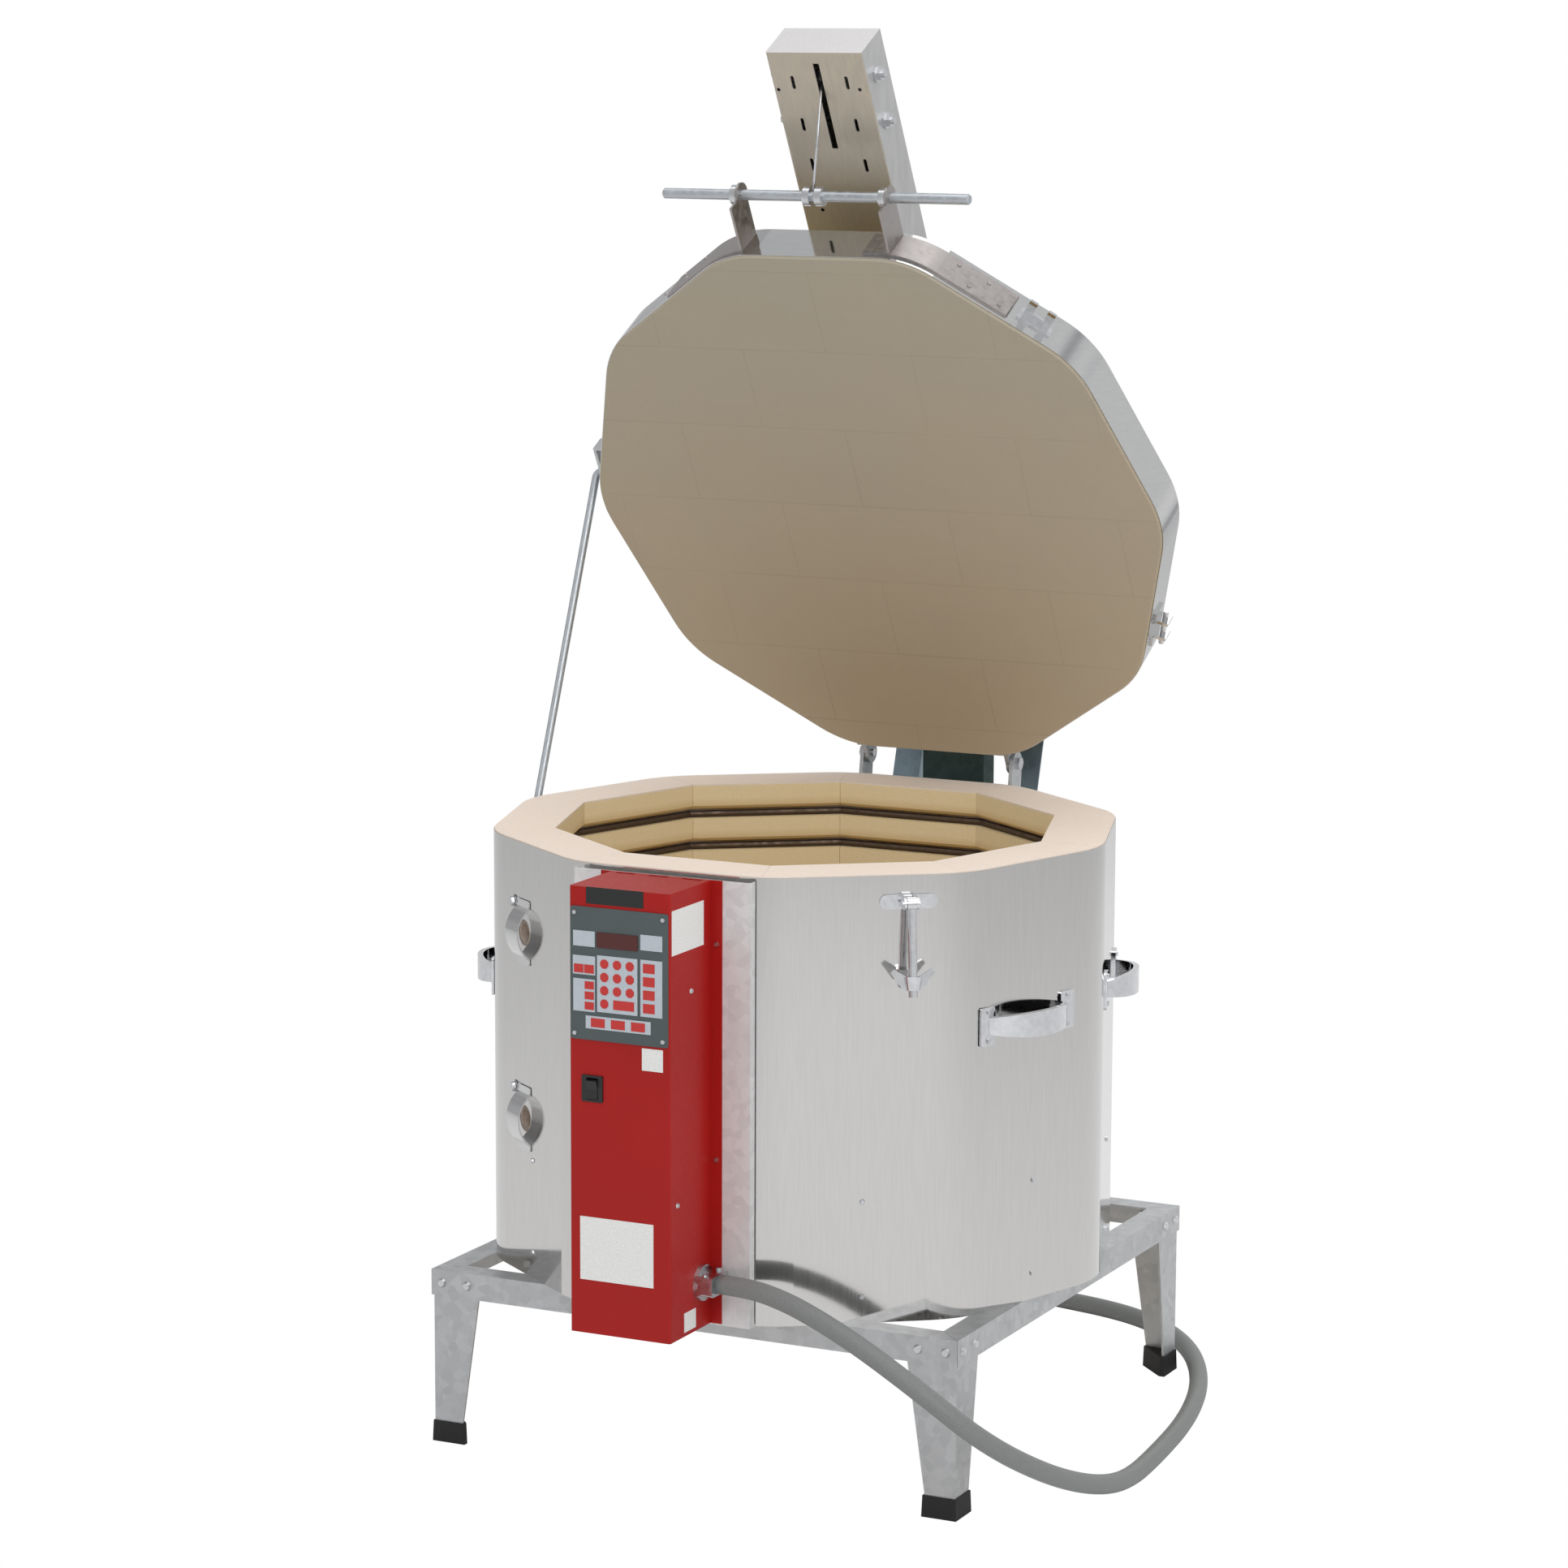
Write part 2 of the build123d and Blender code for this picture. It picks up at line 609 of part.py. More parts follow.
with BuildPart() as control_cover:
    with BuildSketch(Plane.XY.offset(BOX_BOTTOM)):
        with Locations((0, -BOX_FRONT)):
            Rectangle(BOX_WIDTH, BOX_DEPTH, align=(Align.CENTER, Align.MIN))
    extrude(amount=BOX_HEIGHT)
    fillet(control_cover.edges().filter_by(Axis.Z).group_by(Axis.Y)[0], 2.5)
    with BuildSketch(Plane.XY.offset(BOX_BOTTOM + BOX_SHEET)):
        with Locations((0, -BOX_FRONT + BOX_SHEET)):
            Rectangle(BOX_WIDTH - 2 * BOX_SHEET, BOX_DEPTH, align=(Align.CENTER, Align.MIN))
    extrude(amount=BOX_HEIGHT - 2 * BOX_SHEET, mode=Mode.SUBTRACT)
    with BuildSketch(Plane.XY.offset(BOX_BOTTOM)):
        for side in (-1, 1):
            with Locations((side * (BOX_WIDTH + BOX_FLANGE - BOX_SHEET) / 2, -CHANNEL_FACE)):
                Rectangle(BOX_FLANGE + BOX_SHEET, BOX_SHEET, align=(Align.CENTER, Align.MAX))
    extrude(amount=BOX_HEIGHT)
    with BuildSketch(Plane.XY.offset(BOX_TOP - 2 * BOX_SHEET)):
        with GridLocations(BOX_WIDTH / 3, 0, 3, 1):
            with Locations((0, -CHANNEL_FACE - 8)):
                SlotOverall(BOX_WIDTH / 5, 5)
    extrude(amount=3 * BOX_SHEET, mode=Mode.SUBTRACT)
    with BuildSketch(Plane((0, CORD_EXIT_Y, CORD_EXIT_Z), x_dir=(0, 1, 0), z_dir=(1, 0, 0))):
        Circle(CORD_RADIUS + 2)
    extrude(amount=BOX_WIDTH, mode=Mode.SUBTRACT)
    with BuildSketch(box_cover_plane(0, PANEL_BELOW_TOP + PANEL_HEIGHT / 2)):
        Rectangle(PANEL_WIDTH - 20, PANEL_HEIGHT - 20)
    extrude(amount=2 * BOX_SHEET, both=True, mode=Mode.SUBTRACT)
    with BuildSketch(box_cover_plane(SWITCH_X, SWITCH_BELOW_TOP)):
        Rectangle(SWITCH_WIDTH - 4, SWITCH_HEIGHT - 2)
    extrude(amount=2 * BOX_SHEET, both=True, mode=Mode.SUBTRACT)
save(control_cover.part, "control_cover")

with BuildPart() as keypad_panel:
    with BuildSketch(box_cover_plane(0, PANEL_BELOW_TOP + PANEL_HEIGHT / 2)):
        RectangleRounded(PANEL_WIDTH, PANEL_HEIGHT, 3)
    extrude(amount=PANEL_THICKNESS)
save(keypad_panel.part, "keypad_panel")

# Fields of the keypad: across from the middle, down from the panel's top, width and height
KEYPAD_FIELDS = {
    "clock": (-45, 37, 28, 18),
    "table": (42, 35, 28, 18),
    "digits": (-2, 88, 52, 66),
    "column": (42, 88, 28, 66),
    "pair": (-45, 68, 29, 22),
    "trio": (-45, 103, 28, 38),
    "row": (-1, 134, 84, 15),
}
DISPLAY_FIELD = (-2, 37, 53, 18)


def panel_plane(across, down, lift=0.0):
    """A plane on the keypad panel, given across from its middle and down from its top."""
    return box_cover_plane(across, PANEL_BELOW_TOP + down).offset(PANEL_THICKNESS + lift)


with BuildPart() as keypad_membrane:
    for across, down, width, height in KEYPAD_FIELDS.values():
        with BuildSketch(panel_plane(across, down)):
            Rectangle(width, height)
        extrude(amount=PAD_THICKNESS)

with BuildPart() as display_window:
    with BuildSketch(panel_plane(DISPLAY_FIELD[0], DISPLAY_FIELD[1])):
        RectangleRounded(DISPLAY_FIELD[2], DISPLAY_FIELD[3], 1.5)
    extrude(amount=2 * PAD_THICKNESS)
save(display_window.part, "display_window")


def key_block(field, columns, rows, pitch, size, shift=(0, 0)):
    """A block of equal raised keys on one field; a size without height means round keys."""
    across, down = KEYPAD_FIELDS[field][:2]
    with BuildPart() as keys:
        with BuildSketch(panel_plane(across + shift[0], down + shift[1], PAD_THICKNESS)):
            with GridLocations(*pitch, columns, rows):
                if len(size) == 1:
                    RegularPolygon(size[0] / 2, 8, rotation=22.5)
                else:
                    Rectangle(*size)
        extrude(amount=KEY_THICKNESS)
    return keys.part


ROUND_KEY = (11.5,)
with keypad_membrane:
    add(key_block("digits", 3, 3, (16.5, 15.5), ROUND_KEY, shift=(0, -8)))
    add(key_block("digits", 1, 1, (0, 0), ROUND_KEY, shift=(-16.5, 23)))
    add(key_block("digits", 1, 1, (0, 0), (27, 11), shift=(8.5, 23)))
    add(key_block("column", 1, 4, (0, 15.5), (15, 11), shift=(-3, 0)))
    add(key_block("pair", 2, 1, (13.5, 0), (12.5, 10), shift=(0, 4)))
    add(key_block("trio", 1, 3, (0, 12), (12, 9), shift=(7, 0)))
    add(key_block("row", 3, 1, (26, 0), (18, 10.5)))
save(keypad_membrane.part, "keypad_membrane")

with BuildPart() as power_switch:
    with BuildSketch(box_cover_plane(SWITCH_X, SWITCH_BELOW_TOP)):
        RectangleRounded(SWITCH_WIDTH, SWITCH_HEIGHT, 1.5)
    extrude(amount=SWITCH_BEZEL)
    with BuildSketch(box_cover_plane(SWITCH_X, SWITCH_BELOW_TOP)):
        Rectangle(SWITCH_WIDTH - 5, SWITCH_HEIGHT - 3)
    extrude(amount=-SWITCH_DEPTH)
    with BuildSketch(box_cover_plane(SWITCH_X, SWITCH_BELOW_TOP).offset(SWITCH_BEZEL)):
        Rectangle(*SWITCH_OPENING)
    extrude(amount=-(SWITCH_BEZEL + SWITCH_DEPTH - 4), mode=Mode.SUBTRACT)
save(power_switch.part, "power_switch")

ROCKER_Z = BOX_TOP - SWITCH_BELOW_TOP
ROCKER_Y = -BOX_FRONT + ROCKER_PIVOT_DEPTH
rocker_plane = Plane((SWITCH_X, ROCKER_Y, ROCKER_Z), x_dir=(0, 1, 0), z_dir=(1, 0, 0)).rotated((ROCKER_TILT, 0, 0))
with BuildPart() as switch_rocker:
    with BuildSketch(rocker_plane):
        with BuildLine():
            Polyline((3, -11), (-7.5, -11), (-5.5, 0), (-7.5, 11), (3, 11), close=True)
        make_face()
    extrude(amount=SWITCH_OPENING[0] / 2 - ROCKER_SLACK, both=True)
save(switch_rocker.part, "switch_rocker")


def box_inside(x, bottom, width, height, depth):
    """A plain block for an electrical piece that stands on the channel inside the cover."""
    with BuildPart() as block:
        with BuildSketch(Plane((x, -CHANNEL_FACE, bottom), x_dir=(1, 0, 0), z_dir=(0, -1, 0))):
            Rectangle(width, height, align=(Align.CENTER, Align.MIN))
        extrude(amount=depth)
        chamfer(block.edges().filter_by(Axis.Y), min(width, height) / 12)
    return block.part


TRANSFORMER_RISE = 176
RELAY_RISE = 48
save(box_inside(0, FLOOR_TOP + TRANSFORMER_RISE, 44, 50, 40), "transformer")
save(box_inside(26, BOX_BOTTOM + 20, 48, 26, 26), "terminal_block")
with BuildPart() as power_relays:
    for x in (-44, 8):
        add(box_inside(x, FLOOR_TOP + RELAY_RISE, 30, 44, 30))
save(power_relays.part, "power_relays")

with BuildPart() as circuit_board:
    with BuildSketch(box_cover_plane(0, PANEL_BELOW_TOP + PANEL_HEIGHT / 2).offset(-12)):
        Rectangle(PANEL_WIDTH - 16, PANEL_HEIGHT - 16)
    extrude(amount=-1.6)
    with BuildSketch(box_cover_plane(0, PANEL_BELOW_TOP + PANEL_HEIGHT / 2).offset(-BOX_SHEET)):
        with GridLocations(PANEL_WIDTH - 24, PANEL_HEIGHT - 24, 2, 2):
            Rectangle(6, 6)
    extrude(amount=-12)
save(circuit_board.part, "circuit_board")

panel_screw_planes = []
for across in (-1, 1):
    for down in (7, PANEL_HEIGHT - 7):
        panel_screw_planes.append(panel_plane(across * (PANEL_WIDTH / 2 - 6), down))

cover_screw_planes = []
for side in (-1, 1):
    flange_x = side * (BOX_WIDTH / 2 + BOX_FLANGE / 2)
    for below in (75, 330):
        flange_point = (flange_x, -CHANNEL_FACE - BOX_SHEET, BOX_TOP - below)
        cover_screw_planes.append(Plane(flange_point, x_dir=(1, 0, 0), z_dir=(0, -1, 0)))
    for depth, below in ((52, 121), (18, 366)):
        side_point = (side * BOX_WIDTH / 2, -BOX_FRONT + depth, BOX_TOP - below)
        cover_screw_planes.append(Plane(side_point, x_dir=(0, side, 0), z_dir=(side, 0, 0)))


# Pull handles on four sides


def pull_handle(direction, shift):
    """A chromed pull: two screw plates and a bowed, lens-shaped grip between them."""
    base = face_plane(direction, HANDLE_Z)
    place = Plane(
        base.origin + base.x_dir * shift, x_dir=base.x_dir, z_dir=base.z_dir
    )
    half = HANDLE_LENGTH / 2
    root = half - HANDLE_PLATE_WIDTH / 2
    bow = HANDLE_REACH - GRIP_THICKNESS
    plan = Plane(place.origin, x_dir=place.x_dir, z_dir=-place.y_dir)
    with BuildPart() as handle:
        with BuildSketch(plan):
            with BuildLine():
                ThreePointArc((-root, 0), (0, HANDLE_REACH), (root, 0))
                Line((root, 0), (root - GRIP_THICKNESS, 0))
                ThreePointArc((root - GRIP_THICKNESS, 0), (0, bow), (GRIP_THICKNESS - root, 0))
                Line((GRIP_THICKNESS - root, 0), (-root, 0))
            make_face()
        extrude(amount=GRIP_HEIGHT / 2, both=True)
        with BuildSketch(place):
            Ellipse(half + 8, GRIP_HEIGHT / 2)
        extrude(amount=HANDLE_REACH + 1, mode=Mode.INTERSECT)
        with BuildSketch(place):
            for side in (-1, 1):
                with Locations((side * (half - HANDLE_PLATE_WIDTH / 2), 0)):
                    RectangleRounded(HANDLE_PLATE_WIDTH, HANDLE_PLATE_HEIGHT, 3)
        extrude(amount=HANDLE_PLATE_THICKNESS)
    return handle.part


HANDLE_SHIFTS = {
    RIGHT: -HANDLE_OFFSET,
    RIGHT_REAR: HANDLE_OFFSET,
    LEFT_REAR: -HANDLE_OFFSET,
    LEFT: HANDLE_OFFSET,
}
with BuildPart() as pull_handles:
    for direction, shift in HANDLE_SHIFTS.items():
        add(pull_handle(direction, shift))
save(pull_handles.part, "pull_handles")

handle_screw_planes = []
for direction, shift in HANDLE_SHIFTS.items():
    plate = face_plane(direction, HANDLE_Z, BODY_APOTHEM + HANDLE_PLATE_THICKNESS)
    for side in (-1, 1):
        for rise in (-1, 1):
            along = shift + side * (HANDLE_LENGTH / 2 - HANDLE_PLATE_WIDTH / 2)
            point = plate.origin + plate.x_dir * along
            point = point + plate.y_dir * (rise * (HANDLE_PLATE_HEIGHT / 2 - 6))
            handle_screw_planes.append(Plane(point, x_dir=plate.x_dir, z_dir=plate.z_dir))


# Peepholes: each behind a stainless cover that swings aside


def peephole_plane(height, distance=0.0):
    """A plane on the peepholes' side, centred on the hole at this height."""
    side = face_plane(FRONT_LEFT, height, BODY_APOTHEM + distance)
    return Plane(side.origin + side.x_dir * PEEPHOLE_OFFSET, x_dir=side.x_dir, z_dir=side.z_dir)


def peep_cover(height):
    """A stainless cover: a flat arm from its pivot screw to a bowed shield over the plug."""
    flat = peephole_plane(height, 0.5)
    half = PEEP_SHIELD_HEIGHT / 2
    bulge = PEEP_SHIELD_BULGE
    side_view = Plane(flat.origin, x_dir=flat.y_dir, z_dir=flat.x_dir)
    with BuildPart() as cover:
        with BuildSketch(side_view):
            with BuildLine():
                ThreePointArc((-half, 0), (0, bulge), (half, 0))
                Line((half, 0), (half - 2 * PEEP_SHEET, 0))
                ThreePointArc(
                    (half - 2 * PEEP_SHEET, 0), (0, bulge - PEEP_SHEET), (2 * PEEP_SHEET - half, 0)
                )
                Line((2 * PEEP_SHEET - half, 0), (-half, 0))
            make_face()
        extrude(amount=PEEP_SHIELD_WIDTH / 2, both=True)
        with BuildSketch(flat):
            with Locations((0, half + 3)):
                RectangleRounded(PEEP_SHIELD_WIDTH, 9, 3)
            with Locations((0, -half - 2)):
                RectangleRounded(PEEP_SHIELD_WIDTH, 7, 3)
            with Locations((-PEEP_PIVOT_SIDE / 2, half + 2)):
                Rectangle(PEEP_PIVOT_SIDE, 7)
            with Locations((-PEEP_PIVOT_SIDE, half + 1)):
                Circle(8)
        extrude(amount=PEEP_SHEET)
        with BuildSketch(flat):
            with Locations((-PEEP_PIVOT_SIDE, half + 1)):
                Circle(3 + RUNNING_CLEARANCE)
        extrude(amount=PEEP_SHEET, mode=Mode.SUBTRACT)
    return cover.part


def peep_pivots():
    """The two pivot screws, each with a shank through its cover and a broad head."""
    rise = PEEP_SHIELD_HEIGHT / 2 + 1
    with BuildPart() as pivots:
        for height in PEEPHOLE_HEIGHTS:
            with BuildSketch(peephole_plane(height + rise)):
                with Locations((-PEEP_PIVOT_SIDE, 0)):
                    Circle(3)
            extrude(amount=PEEP_SHEET + 1)
            with BuildSketch(peephole_plane(height + rise, PEEP_SHEET + 1)):
                with Locations((-PEEP_PIVOT_SIDE, 0)):
                    RegularPolygon(6.5, 12)
            extrude(amount=3.5, taper=20)
    return pivots.part


save(peep_cover(PEEPHOLE_HEIGHTS[0]), "peephole_cover_lower")
save(peep_cover(PEEPHOLE_HEIGHTS[1]), "peephole_cover_upper")
save(peep_pivots(), "peephole_pivots")


# Swing-bolt latch on the front right side


def latch_plane(lift=0.0, distance=0.0):
    """A plane at the latch's pivot, raised and moved outwards from the jacket."""
    side = face_plane(FRONT_RIGHT, LATCH_Z + lift, BODY_APOTHEM + distance)
    return Plane(side.origin + side.x_dir * LATCH_OFFSET, x_dir=side.x_dir, z_dir=side.z_dir)


def leaned(part):
    """The part swung outwards about the latch's pin, as the bolt hangs with its nut off the jacket."""
    pin = latch_plane(0, LATCH_STANDOFF)
    return part.rotate(Axis(pin.origin, pin.x_dir), -LATCH_LEAN)


LATCH_EYE_RADIUS = 8
LATCH_LUG_GAP = 11.6
LATCH_LUG = 3

with BuildPart() as latch_base:
    with BuildSketch(latch_plane()):
        SlotOverall(68, 17)
    extrude(amount=3)
    lug_view = latch_plane(0, 3)
    for side in (-1, 1):
        centre = lug_view.origin + lug_view.x_dir * (side * (LATCH_LUG_GAP + LATCH_LUG) / 2)
        lug = Plane(centre, x_dir=lug_view.z_dir, z_dir=lug_view.x_dir)
        with BuildSketch(lug):
            Rectangle(LATCH_STANDOFF - 3, 14, align=(Align.MIN, Align.CENTER))
            with Locations((LATCH_STANDOFF - 3, 0)):
                Circle(7)
        extrude(amount=LATCH_LUG / 2, both=True)
    pin_plane = latch_plane(0, LATCH_STANDOFF)
    with BuildSketch(Plane(pin_plane.origin, x_dir=pin_plane.z_dir, z_dir=pin_plane.x_dir)):
        Circle(LATCH_PIN_RADIUS)
    extrude(amount=LATCH_LUG_GAP / 2 + LATCH_LUG + 1.5, both=True)
save(latch_base.part, "latch_base")

with BuildPart() as latch_bolt:
    eye = latch_plane(0, LATCH_STANDOFF)
    across = Plane(eye.origin, x_dir=eye.z_dir, z_dir=eye.x_dir)
    with BuildSketch(across):
        Circle(LATCH_EYE_RADIUS)
    extrude(amount=LATCH_LUG_GAP / 2 - 0.4, both=True)
    with BuildSketch(Plane(eye.origin, x_dir=eye.x_dir, z_dir=-eye.y_dir)):
        Circle(LATCH_BOLT_RADIUS)
    extrude(amount=LATCH_BOLT_LENGTH)
    with BuildSketch(across):
        Circle(LATCH_PIN_RADIUS + RUNNING_CLEARANCE)
    extrude(amount=LATCH_LUG_GAP, both=True, mode=Mode.SUBTRACT)
save(leaned(latch_bolt.part), "latch_bolt")

with BuildPart() as latch_wing_nut:
    stem = latch_plane(-LATCH_NUT_START, LATCH_STANDOFF)
    below = Plane(stem.origin, x_dir=stem.x_dir, z_dir=-stem.y_dir)
    with BuildSketch(below):
        Circle(11)
    extrude(amount=LATCH_NUT_HEIGHT, taper=10)
    wings = Plane(stem.origin, x_dir=stem.x_dir, z_dir=stem.z_dir)
    with BuildSketch(wings):
        for side in (-1, 1):
            with BuildLine():
                Polyline(
                    (0, -15),
                    (side * 12, -14),
                    (side * LATCH_WING_REACH, LATCH_WING_RISE - 4),
                    (side * (LATCH_WING_REACH - 4), LATCH_WING_RISE),
                    (0, -5),
                    close=True,
                )
            make_face()
    extrude(amount=2, both=True)
    with BuildSketch(below):
        Circle(LATCH_BOLT_RADIUS + RUNNING_CLEARANCE)
    extrude(amount=LATCH_NUT_HEIGHT, mode=Mode.SUBTRACT)
save(leaned(latch_wing_nut.part), "latch_wing_nut")


# Lid: slab, band, keeper, handle bar with its brackets, hinge leaves and prop catch

with BuildPart() as lid_slab:
    with BuildSketch(Plane.XY.offset(LID_BOTTOM)):
        rounded_decagon(BRICK_APOTHEM)
    extrude(amount=LID_THICKNESS)
    chamfer(lid_slab.faces().sort_by(Axis.Z)[0].edges(), 2)
save(opened(lid_slab.part), "lid_slab")

with BuildPart() as lid_band:
    with BuildSketch(Plane.XY.offset(LID_BOTTOM + 3)):
        rounded_decagon(BODY_APOTHEM)
        rounded_decagon(BODY_APOTHEM - SHEET, Mode.SUBTRACT)
    extrude(amount=LID_THICKNESS - 3.5)
save(opened(lid_band.part), "lid_band")

CLAMP_OFFSET = 55
with BuildPart() as lid_band_clamp:
    clamp_plane = face_plane(RIGHT_REAR, LID_BOTTOM + LID_THICKNESS / 2)
    with BuildSketch(clamp_plane):
        for end in (-1, 1):
            with Locations((CLAMP_OFFSET + end * 18, 0)):
                Rectangle(16, 26)
    extrude(amount=3)
    with BuildSketch(clamp_plane):
        for end in (-1, 1):
            with Locations((CLAMP_OFFSET + end * 12, 0)):
                Rectangle(4, 20)
    extrude(amount=18)
    screw_point = clamp_plane.origin + clamp_plane.x_dir * CLAMP_OFFSET + clamp_plane.z_dir * 11
    with BuildSketch(Plane(screw_point, x_dir=clamp_plane.z_dir, z_dir=clamp_plane.x_dir)):
        Circle(3.5)
    extrude(amount=26, both=True)
save(opened(lid_band_clamp.part), "lid_band_clamp")

KEEPER_REACH = LATCH_STANDOFF + 9
KEEPER_SLOT = 2 * LATCH_BOLT_RADIUS + 4
with BuildPart() as latch_keeper:
    keeper_side = face_plane(FRONT_RIGHT, RIM + KEEPER_LIFT)
    keeper_centre = keeper_side.origin + keeper_side.x_dir * LATCH_OFFSET
    upright = Plane(keeper_centre, x_dir=keeper_side.x_dir, z_dir=keeper_side.z_dir)
    with BuildSketch(upright):
        Rectangle(46, 24)
    extrude(amount=2.5)
    with BuildSketch(Plane(keeper_centre, x_dir=keeper_side.x_dir, z_dir=-keeper_side.y_dir)):
        Rectangle(36, KEEPER_REACH, align=(Align.CENTER, Align.MIN))
        with Locations((0, LATCH_STANDOFF - KEEPER_SLOT / 2)):
            Rectangle(KEEPER_SLOT, KEEPER_REACH, align=(Align.CENTER, Align.MIN), mode=Mode.SUBTRACT)
    extrude(amount=2, both=True)
save(opened(latch_keeper.part), "latch_keeper")


def lid_bracket(side, strip_start, strip_length):
    """A riveted strip round the lid's front corner, with an arm that carries the bar."""
    strip_bottom = LID_BOTTOM + (LID_THICKNESS - ARM_WIDTH) / 2
    outer = BODY_APOTHEM + ARM_THICKNESS
    with BuildPart() as bracket:
        with BuildSketch(Plane.XY.offset(strip_bottom)):
            rounded_decagon(outer)
            rounded_decagon(BODY_APOTHEM + STRIP_SEAT, Mode.SUBTRACT)
            with Locations((side * strip_start, -BODY_APOTHEM)):
                Rectangle(
                    strip_length,
                    2 * strip_length,
                    align=(Align.MIN if side > 0 else Align.MAX, Align.CENTER),
                    mode=Mode.INTERSECT,
                )
        extrude(amount=ARM_WIDTH)
        with BuildSketch(Plane.YZ.offset(side * ARM_SPREAD)):
            with Locations((-BODY_APOTHEM - STRIP_SEAT, strip_bottom)):
                Rectangle(BAR_REACH, ARM_WIDTH, align=(Align.MAX, Align.MIN))
            with Locations((BAR_Y, BAR_Z)):
                Circle(ARM_NOSE)
                Circle(BAR_RADIUS + 0.3, mode=Mode.SUBTRACT)
        extrude(amount=side * ARM_THICKNESS)
    return bracket.part


with BuildPart() as lid_brackets:
    add(lid_bracket(-1, ARM_SPREAD, 120))
    add(lid_bracket(1, ARM_SPREAD - 34, 172))
save(opened(lid_brackets.part), "lid_brackets")

rivet_planes = []
for direction, sign in ((FRONT_RIGHT, -1), (FRONT_LEFT, 1)):
    for step, rise in ((62, 12), (38, -12), (20, 12), (-4, -12)):
        spot = face_plane(direction, LID_BOTTOM + LID_THICKNESS / 2 + rise, BODY_APOTHEM + ARM_THICKNESS)
        point = spot.origin + spot.x_dir * (sign * step)
        rivet_planes.append(Plane(point, x_dir=spot.x_dir, z_dir=spot.z_dir))
save(opened(screw_heads(rivet_planes, radius=3, height=1.2)), "bracket_rivets")

with BuildPart() as handle_bar:
    with BuildSketch(Plane.YZ.offset(-BAR_LENGTH / 2)):
        with Locations((BAR_Y, BAR_Z)):
            Circle(BAR_RADIUS)
    extrude(amount=BAR_LENGTH)
    chamfer(handle_bar.faces().filter_by(Axis.X).edges(), 1.5)
save(opened(handle_bar.part), "handle_bar")

COLLAR_WIDTH = 9
COLLAR_RADIUS = 12
CABLE_EYE_GAP = 7
collar_starts = (
    -ARM_SPREAD - ARM_THICKNESS - COLLAR_WIDTH - 0.3,
    -CABLE_EYE_GAP / 2 - COLLAR_WIDTH,
    CABLE_EYE_GAP / 2,
    ARM_SPREAD - COLLAR_WIDTH - 0.3,
)
with BuildPart() as bar_collars:
    for start in collar_starts:
        with BuildSketch(Plane.YZ.offset(start)):
            with Locations((BAR_Y, BAR_Z)):
                Circle(COLLAR_RADIUS)
                Circle(BAR_RADIUS + 0.1, mode=Mode.SUBTRACT)
        extrude(amount=COLLAR_WIDTH)
save(opened(bar_collars.part), "bar_collars")


def hinge_plate_profile(mode=Mode.SUBTRACT, radius=HINGE_PIN_RADIUS):
    """A round head or, by default, a round hole about the hinge's axis, on a YZ plane."""
    with Locations((HINGE_Y, HINGE_Z)):
        Circle(radius, mode=mode)


def lid_leaf(side):
    """The lid's half of a hinge: a flange on the band's rear side and an ear with a pin hole."""
    inner = HINGE_SPREAD - HINGE_PLATE - 0.4
    with BuildPart() as leaf:
        with BuildSketch(Plane.YZ.offset(side * inner)):
            with Locations((BODY_APOTHEM, HINGE_Z)):
                Rectangle(HINGE_BACK, 1.7 * HINGE_HEAD_RADIUS, align=(Align.MIN, Align.CENTER))
            hinge_plate_profile(Mode.ADD, HINGE_HEAD_RADIUS - 1)
            hinge_plate_profile(radius=HINGE_PIN_RADIUS + RUNNING_CLEARANCE)
        extrude(amount=side * HINGE_PLATE)
        flange_plane = face_plane(REAR, LID_BOTTOM + LID_THICKNESS / 2)
        with BuildSketch(flange_plane):
            with Locations((-side * (inner - 12), 0)):
                Rectangle(44, LID_THICKNESS - 14)
        extrude(amount=3)
    return leaf.part


def hinge_mount(side):
    """The body's half of a hinge: a plate that rises from a flange on the jacket's rear."""
    outer = HINGE_SPREAD
    with BuildPart() as mount:
        with BuildSketch(Plane.YZ.offset(side * outer)):
            with BuildLine():
                Polyline(
                    (BODY_APOTHEM + 4, RIM - 20),
                    (HINGE_Y - HINGE_HEAD_RADIUS, HINGE_Z),
                    (HINGE_Y + HINGE_HEAD_RADIUS, HINGE_Z),
                    (HINGE_Y + 6, RIM - 60),
                    (BODY_APOTHEM, RIM - 120),
                    (BODY_APOTHEM, RIM - 20),
                    close=True,
                )
            make_face()
            hinge_plate_profile(Mode.ADD, HINGE_HEAD_RADIUS)
            hinge_plate_profile(radius=HINGE_PIN_RADIUS + RUNNING_CLEARANCE)
        extrude(amount=side * HINGE_PLATE)
        with BuildSketch(face_plane(REAR, RIM - 70)):
            with Locations((-side * (outer - 8), 0)):
                Rectangle(26, 96)
        extrude(amount=3)
    return mount.part


with BuildPart() as lid_hinge_leaves:
    for side in (-1, 1):
        add(lid_leaf(side))
save(opened(lid_hinge_leaves.part), "lid_hinge_leaves")

with BuildPart() as hinge_mounts:
    for side in (-1, 1):
        add(hinge_mount(side))
save(hinge_mounts.part, "hinge_mounts")

